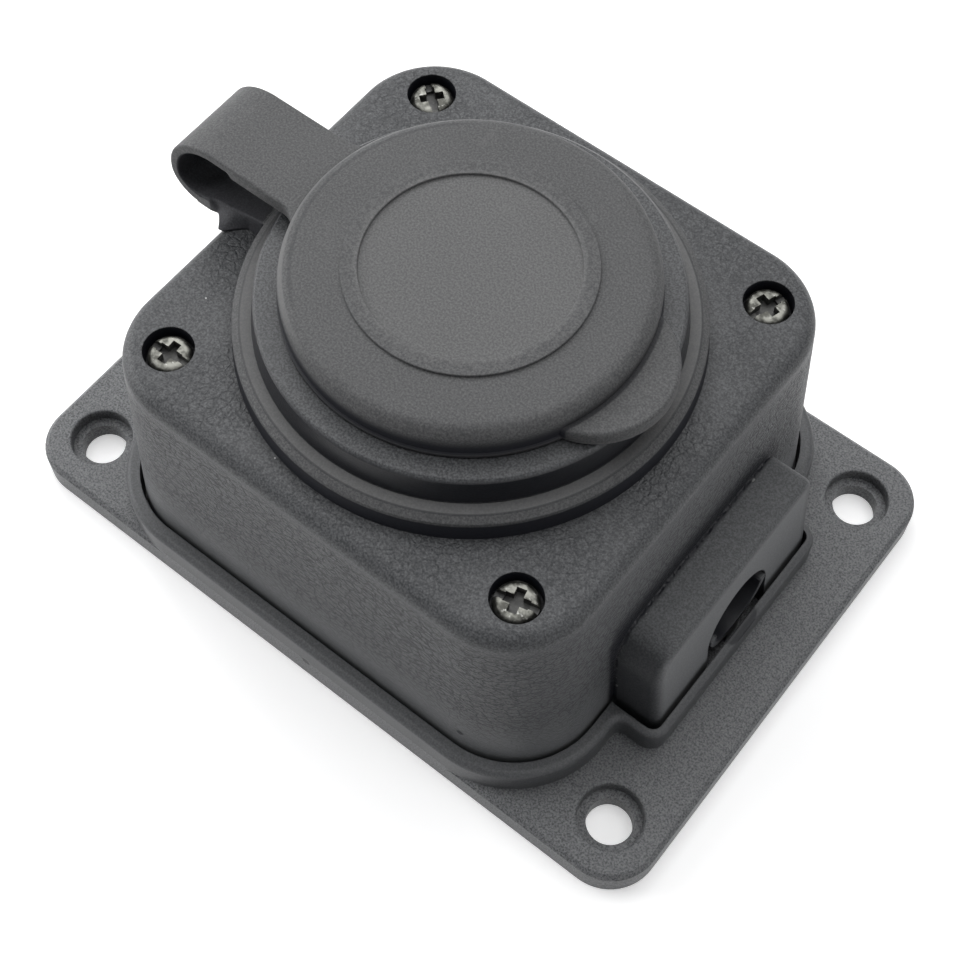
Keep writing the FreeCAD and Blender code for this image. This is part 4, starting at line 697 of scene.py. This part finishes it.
# Ring: a lathe profile, and a tongue whose half width swells at the edge of the cover and whose
# flanks run out in a hollow curve, height = edge + rest * (1 - t) squared, with rounded corners.
def makeRing():
    profile = roundedLine(ring["profile"], steps=5, closed=True)
    hoop = latheGrid(evenLine(profile, ring["step"], closed=True))
    x = np.concatenate([tongue["end"], np.linspace(*tongue["run"])])[:, None]
    atEnd = x < tongue["endX"]
    swell = np.interp(x, tongue["swellX"], tongue["swell"]) ** tongue["swellPower"]
    half = strap["halfWidth"] + (tongue["swellHalf"] - strap["halfWidth"]) * swell
    half = half - tongue["endNarrow"] * atEnd
    top = tongue["top"] + np.maximum(x - tongue["endX"], 0) * tongue["rise"]
    top = top - tongue["endLow"] * atEnd
    under = np.interp(x, tongue["underX"], tongue["under"])
    full = top - under
    edge = full + (tongue["thinEdge"] - full) * smooth(x, *tongue["thinX"])
    share = np.concatenate([np.linspace(*run) for run in tongue["across"]])
    share = np.concatenate([-share[::-1], share[1:]])[None, :]
    y = share * half
    inner = strap["halfWidth"] - tongue["flankIn"]
    t = np.clip((abs(y) - inner) / (half - inner), 0, 1)
    height = edge + (full - edge) * (1 - t) ** 2
    corner = np.minimum(strap["edge"], edge * 0.5)
    near = np.clip((corner - (half - abs(y))) / corner, 0, 1)
    height = height - corner * (1 - np.sqrt(1 - near * near))
    upper = np.stack([axisX + x + 0 * y, y, under + height], -1)
    lower = np.stack([axisX + x + 0 * y, y, under + 0 * y], -1)[:, ::-1]
    tip = closedEnds(np.concatenate([upper, lower], 1))
    piece = gridMesh("rubberRing", [(hoop, True, True), (tip, False, True)])
    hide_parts("strap_ring")
    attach(piece, "housing")
    return piece


# Which faces of strap and ring lie inside the loop, in mm from the cover's axis.
loop = {
    "middle": (-35.0, 43.5), "facing": 0.12, "reachX": -22.5, "flank": 0.9,
    "strapTop": 48.3, "ringTop": 40.9,
    "tongueX": -36.0, "tongueRadius": 28.1, "tongueFacing": -0.3, "tongueTop": 41.3,
}


# Faces inside the loop of the strap take the second finish, the rubber darkened as painted shade:
# those that face its middle below a height, and those on the tongue beyond the ring.
def shadeLoop(piece, top):
    mesh = piece.data
    middle = np.empty(len(mesh.polygons) * 3)
    mesh.polygons.foreach_get("center", middle)
    facing = np.empty(len(mesh.polygons) * 3)
    mesh.polygons.foreach_get("normal", facing)
    facing = facing.reshape(-1, 3)
    x, y, z = (middle.reshape(-1, 3) / mm - (axisX, 0, 0)).T
    toLoop = np.stack([loop["middle"][0] - x, 0 * y, loop["middle"][1] - z], -1)
    towards = (facing * toLoop).sum(axis=1) / np.linalg.norm(toLoop, axis=1)
    inside = (towards > loop["facing"]) & (x < loop["reachX"]) & (z < top)
    inside &= abs(facing[:, 1]) < loop["flank"]
    onTongue = (x > loop["tongueX"]) & (np.hypot(x, y) > loop["tongueRadius"])
    onTongue &= (facing[:, 2] > loop["tongueFacing"]) & (z < loop["tongueTop"])
    mesh.polygons.foreach_set("material_index", (inside | onTongue).astype(np.int32))
    mesh.update()


capFinish, loopFinish = rubberLook("rubberMatte"), rubberInside("rubberShade")
capPiece, strapPiece, ringPiece = makeCap(), makeStrap(), makeRing()
for piece in (capPiece, strapPiece, ringPiece):
    piece.data.materials.append(capFinish.material)
for piece, top in ((strapPiece, loop["strapTop"]), (ringPiece, loop["ringTop"])):
    piece.data.materials.append(loopFinish.material)
    shadeLoop(piece, top)
print("rubber moulding made")


# Screws, contacts and the inside
zinc = {
    "colour": (0.17, 0.17, 0.155), "dull": (0.05, 0.05, 0.045), "dark": (0.008, 0.008, 0.009),
    "nick": (0.4, 0.4, 0.38), "clouds": 800.0, "cloudEdge": (0.38, 0.62), "cloudDepth": 0.06,
    "stains": 1900.0, "nickEdge": (0.6, 0.75), "nickShare": 0.6, "stainDepth": 0.03,
    "roughness": 0.28, "stainRough": 0.35,
    "grimeHeight": ((37.55, 37.0), (35.6, 36.0)), "grimeShare": 0.8, "grimeDull": 0.7,
    "softEdge": 0.08,
}
metals = {"clouds": 500.0, "cloudEdge": (0.35, 0.75), "cloudRough": 0.2, "cloudDepth": 0.01}
brass = {"colour": (0.72, 0.55, 0.26), "dull": (0.5, 0.36, 0.16), "roughness": 0.22}
spring = {"colour": (0.62, 0.62, 0.6), "dull": (0.42, 0.42, 0.41), "roughness": 0.26}
insert = {
    "colour": (0.036, 0.037, 0.039), "dark": (0.028, 0.029, 0.031), "clouds": 90.0,
    "roughness": 0.38, "cloudRough": 0.1, "grains": 2600.0, "grainDepth": 0.006, "softEdge": 0.12,
}
foam = {
    "colour": (0.012, 0.012, 0.012), "pore": (0.03, 0.03, 0.03), "roughness": 0.85,
    "pores": 3000.0, "poreDepth": 0.05,
}


# Zinc: mottled grey with bright nicks, and painted shade in the recess of the cover screws' heads.
def zincLook():
    look = Look("zincScrew")
    p = zinc
    cloud = look.noise(look.place, p["clouds"], 3.0)
    stain = look.noise(look.place, p["stains"], 2.0)
    # Painted shade low in the screw heads' recesses.
    grime = look.z.band(*p["grimeHeight"])
    tone = look.mix(cloud.step(*p["cloudEdge"]), p["colour"], p["dull"])
    tone = look.mix(stain.step(*p["nickEdge"]) * p["nickShare"], tone, p["nick"])
    look.feed("Base Color", look.mix(grime * p["grimeShare"], tone, p["dark"]))
    look.feed("Metallic", 1.0 - grime * p["grimeDull"])
    look.feed("Roughness", stain * p["stainRough"] + p["roughness"])
    return look.relief(cloud * p["cloudDepth"] + stain * p["stainDepth"], soften=p["softEdge"])


# Brass and spring steel: two tones in clouds.
def metalLook(name, metal):
    look = Look(name)
    cloud = look.noise(look.place, metals["clouds"], 3.0)
    patches = cloud.step(*metals["cloudEdge"])
    look.feed("Base Color", look.mix(patches, metal["colour"], metal["dull"]))
    look.feed("Metallic", 1.0)
    look.feed("Roughness", cloud * metals["cloudRough"] + metal["roughness"])
    return look.relief(cloud * metals["cloudDepth"], soften=zinc["softEdge"])


# Insert and carrier: two dark tones in clouds, with fine grain.
def insertLook():
    look = Look("insertPlastic")
    grain = look.noise(look.place, insert["grains"], 2.0)
    cloud = look.noise(look.place, insert["clouds"], 2.0)
    look.feed("Base Color", look.mix(cloud, insert["colour"], insert["dark"]))
    look.feed("Roughness", cloud * insert["cloudRough"] + insert["roughness"])
    return look.relief(grain * insert["grainDepth"], soften=insert["softEdge"])


# Seal: dark foam, paler and raised towards the borders of its cells.
def foamLook():
    look = Look("sealFoam")
    pores = look.cells(look.place, foam["pores"], "F1")
    look.feed("Base Color", look.mix(pores, foam["colour"], foam["pore"]))
    look.feed("Roughness", foam["roughness"])
    return look.relief(pores * foam["poreDepth"])


screws = ["cover_screw_%d" % number for number in (1, 2, 3, 4)]
screws += ["insert_screw_1", "insert_screw_2", "terminal_screw_1", "terminal_screw_2",
           "earth_terminal_screw", "retainer_screw"]
dress(screws, zincLook())
dress(["line_contact_1", "line_contact_2"], metalLook("contactBrass", brass))
dress(["earth_bracket"], metalLook("earthSpring", spring))
dress(["socket_insert", "contact_carrier", "contact_retainer"], insertLook())
dress(["cover_seal"], foamLook())
print("screws and inner pieces dressed")


# Camera, floor and light
view = {
    "place": (0.07046, -0.08872, 0.21222), "azimuth": 38.25, "elevation": 61.75, "lens": 66.22,
    "sensor": 36.0, "clipStart": 0.01,
}
light = {
    # name, place in m, side in m, watts
    "lamps": [("overhead", (-0.10, 0.22, 0.6), 0.8, 4.2), ("left", (-0.6, -0.22, 0.32), 0.5, 3.2),
              ("window", (-0.5, 0.34, 0.5), 0.4, 1.5), ("right", (0.5, -0.02, 0.42), 0.5, 0.7)],
    "sky": (0.03, 0.03, 0.035), "white": (1.0, 1.0, 1.0),
    "floor": (0.9, 0.9, 0.9), "floorHalf": 1500.0, "floorHeight": -0.1,
    "roughness": 0.7, "specular": 0.2,
    "lift": 0.36, "reach": 620.0,
}


# The camera looks along its azimuth and elevation, unrolled.
def makeCamera():
    a, e = math.radians(view["azimuth"]), math.radians(view["elevation"])
    back = Vector((math.sin(a) * math.cos(e), -math.cos(a) * math.cos(e), math.sin(e)))
    right = Vector((math.cos(a), math.sin(a), 0))
    up = back.cross(right)
    data = bpy.data.cameras.new("photoCamera")
    data.lens, data.sensor_width, data.sensor_fit = view["lens"], view["sensor"], "HORIZONTAL"
    data.clip_start = view["clipStart"]
    camera = bpy.data.objects.new("photoCamera", data)
    turned = Matrix((right, up, back)).transposed().to_4x4()
    camera.matrix_world = Matrix.Translation(view["place"]) @ turned
    bpy.context.scene.collection.objects.link(camera)
    bpy.context.scene.camera = camera


# Square soft lamps, each turned to the middle of the object.
def makeLamps():
    for name, place, size, watts in light["lamps"]:
        data = bpy.data.lights.new(name, "AREA")
        data.shape, data.size, data.size_y, data.energy = "RECTANGLE", size, size, watts
        lamp = bpy.data.objects.new(name, data)
        turned = Vector(place).to_track_quat("Z", "Y").to_matrix().to_4x4()
        lamp.matrix_world = Matrix.Translation(place) @ turned
        bpy.context.scene.collection.objects.link(lamp)


# 1 for camera rays and for what is seen in glossy or clear surfaces, 0 for light on the object.
def seenRays(nodes):
    rays = nodes.node("ShaderNodeLightPath", {}, {}, out=None).outputs
    seen, glossy, clear = [Val(nodes, rays[name]) for name in
                           ("Is Camera Ray", "Is Glossy Ray", "Is Transmission Ray")]
    return seen.most(glossy).most(clear)


# The world lights with a dim grey; eyes, gloss and clear surfaces see it white.
def makeWorld():
    world = bpy.data.worlds.new("studio")
    bpy.context.scene.world = world
    nodes = Nodes(world)
    sky, white = [nodes.node("ShaderNodeBackground", {}, {"Color": light[name] + (1.0,)})
                  for name in ("sky", "white")]
    both = nodes.node("ShaderNodeMixShader", {}, {0: seenRays(nodes), 1: sky, 2: white})
    nodes.node("ShaderNodeOutputWorld", {}, {"Surface": both}, out=None)


# The floor is pale and takes the shadow. A glow that only eyes and reflections see whitens it:
# 1 - (1 - lift) / (1 + (distance / reach) squared) squared, so it grows where the lamps fall off.
def makeFloor():
    half = [-light["floorHalf"], light["floorHalf"]]
    sides = np.meshgrid(half, half, indexing="ij")
    grid = np.stack(sides + [np.full((2, 2), light["floorHeight"])], -1)
    floor = gridMesh("floor", [(grid, False, False)])
    look = Look("paleFloor")
    look.feed("Base Color", light["floor"] + (1.0,))
    look.feed("Roughness", light["roughness"])
    look.feed("Specular IOR Level", light["specular"])
    far = (look.x * look.x + look.y * look.y) / light["reach"] ** 2 + 1.0
    strength = 1.0 - (1.0 - light["lift"]) / (far * far)
    glow = look.node("ShaderNodeEmission", {}, {"Color": light["white"] + (1.0,),
                                                "Strength": seenRays(look) * strength})
    both = look.node("ShaderNodeAddShader", {}, {0: Val(look, look.shader.outputs[0]), 1: glow})
    look.tree.links.new(both.socket, look.out.inputs["Surface"])
    floor.data.materials.append(look.material)


makeCamera()
makeLamps()
makeWorld()
makeFloor()
bpy.context.scene.view_settings.view_transform = "Standard"
print("camera, floor and light set")

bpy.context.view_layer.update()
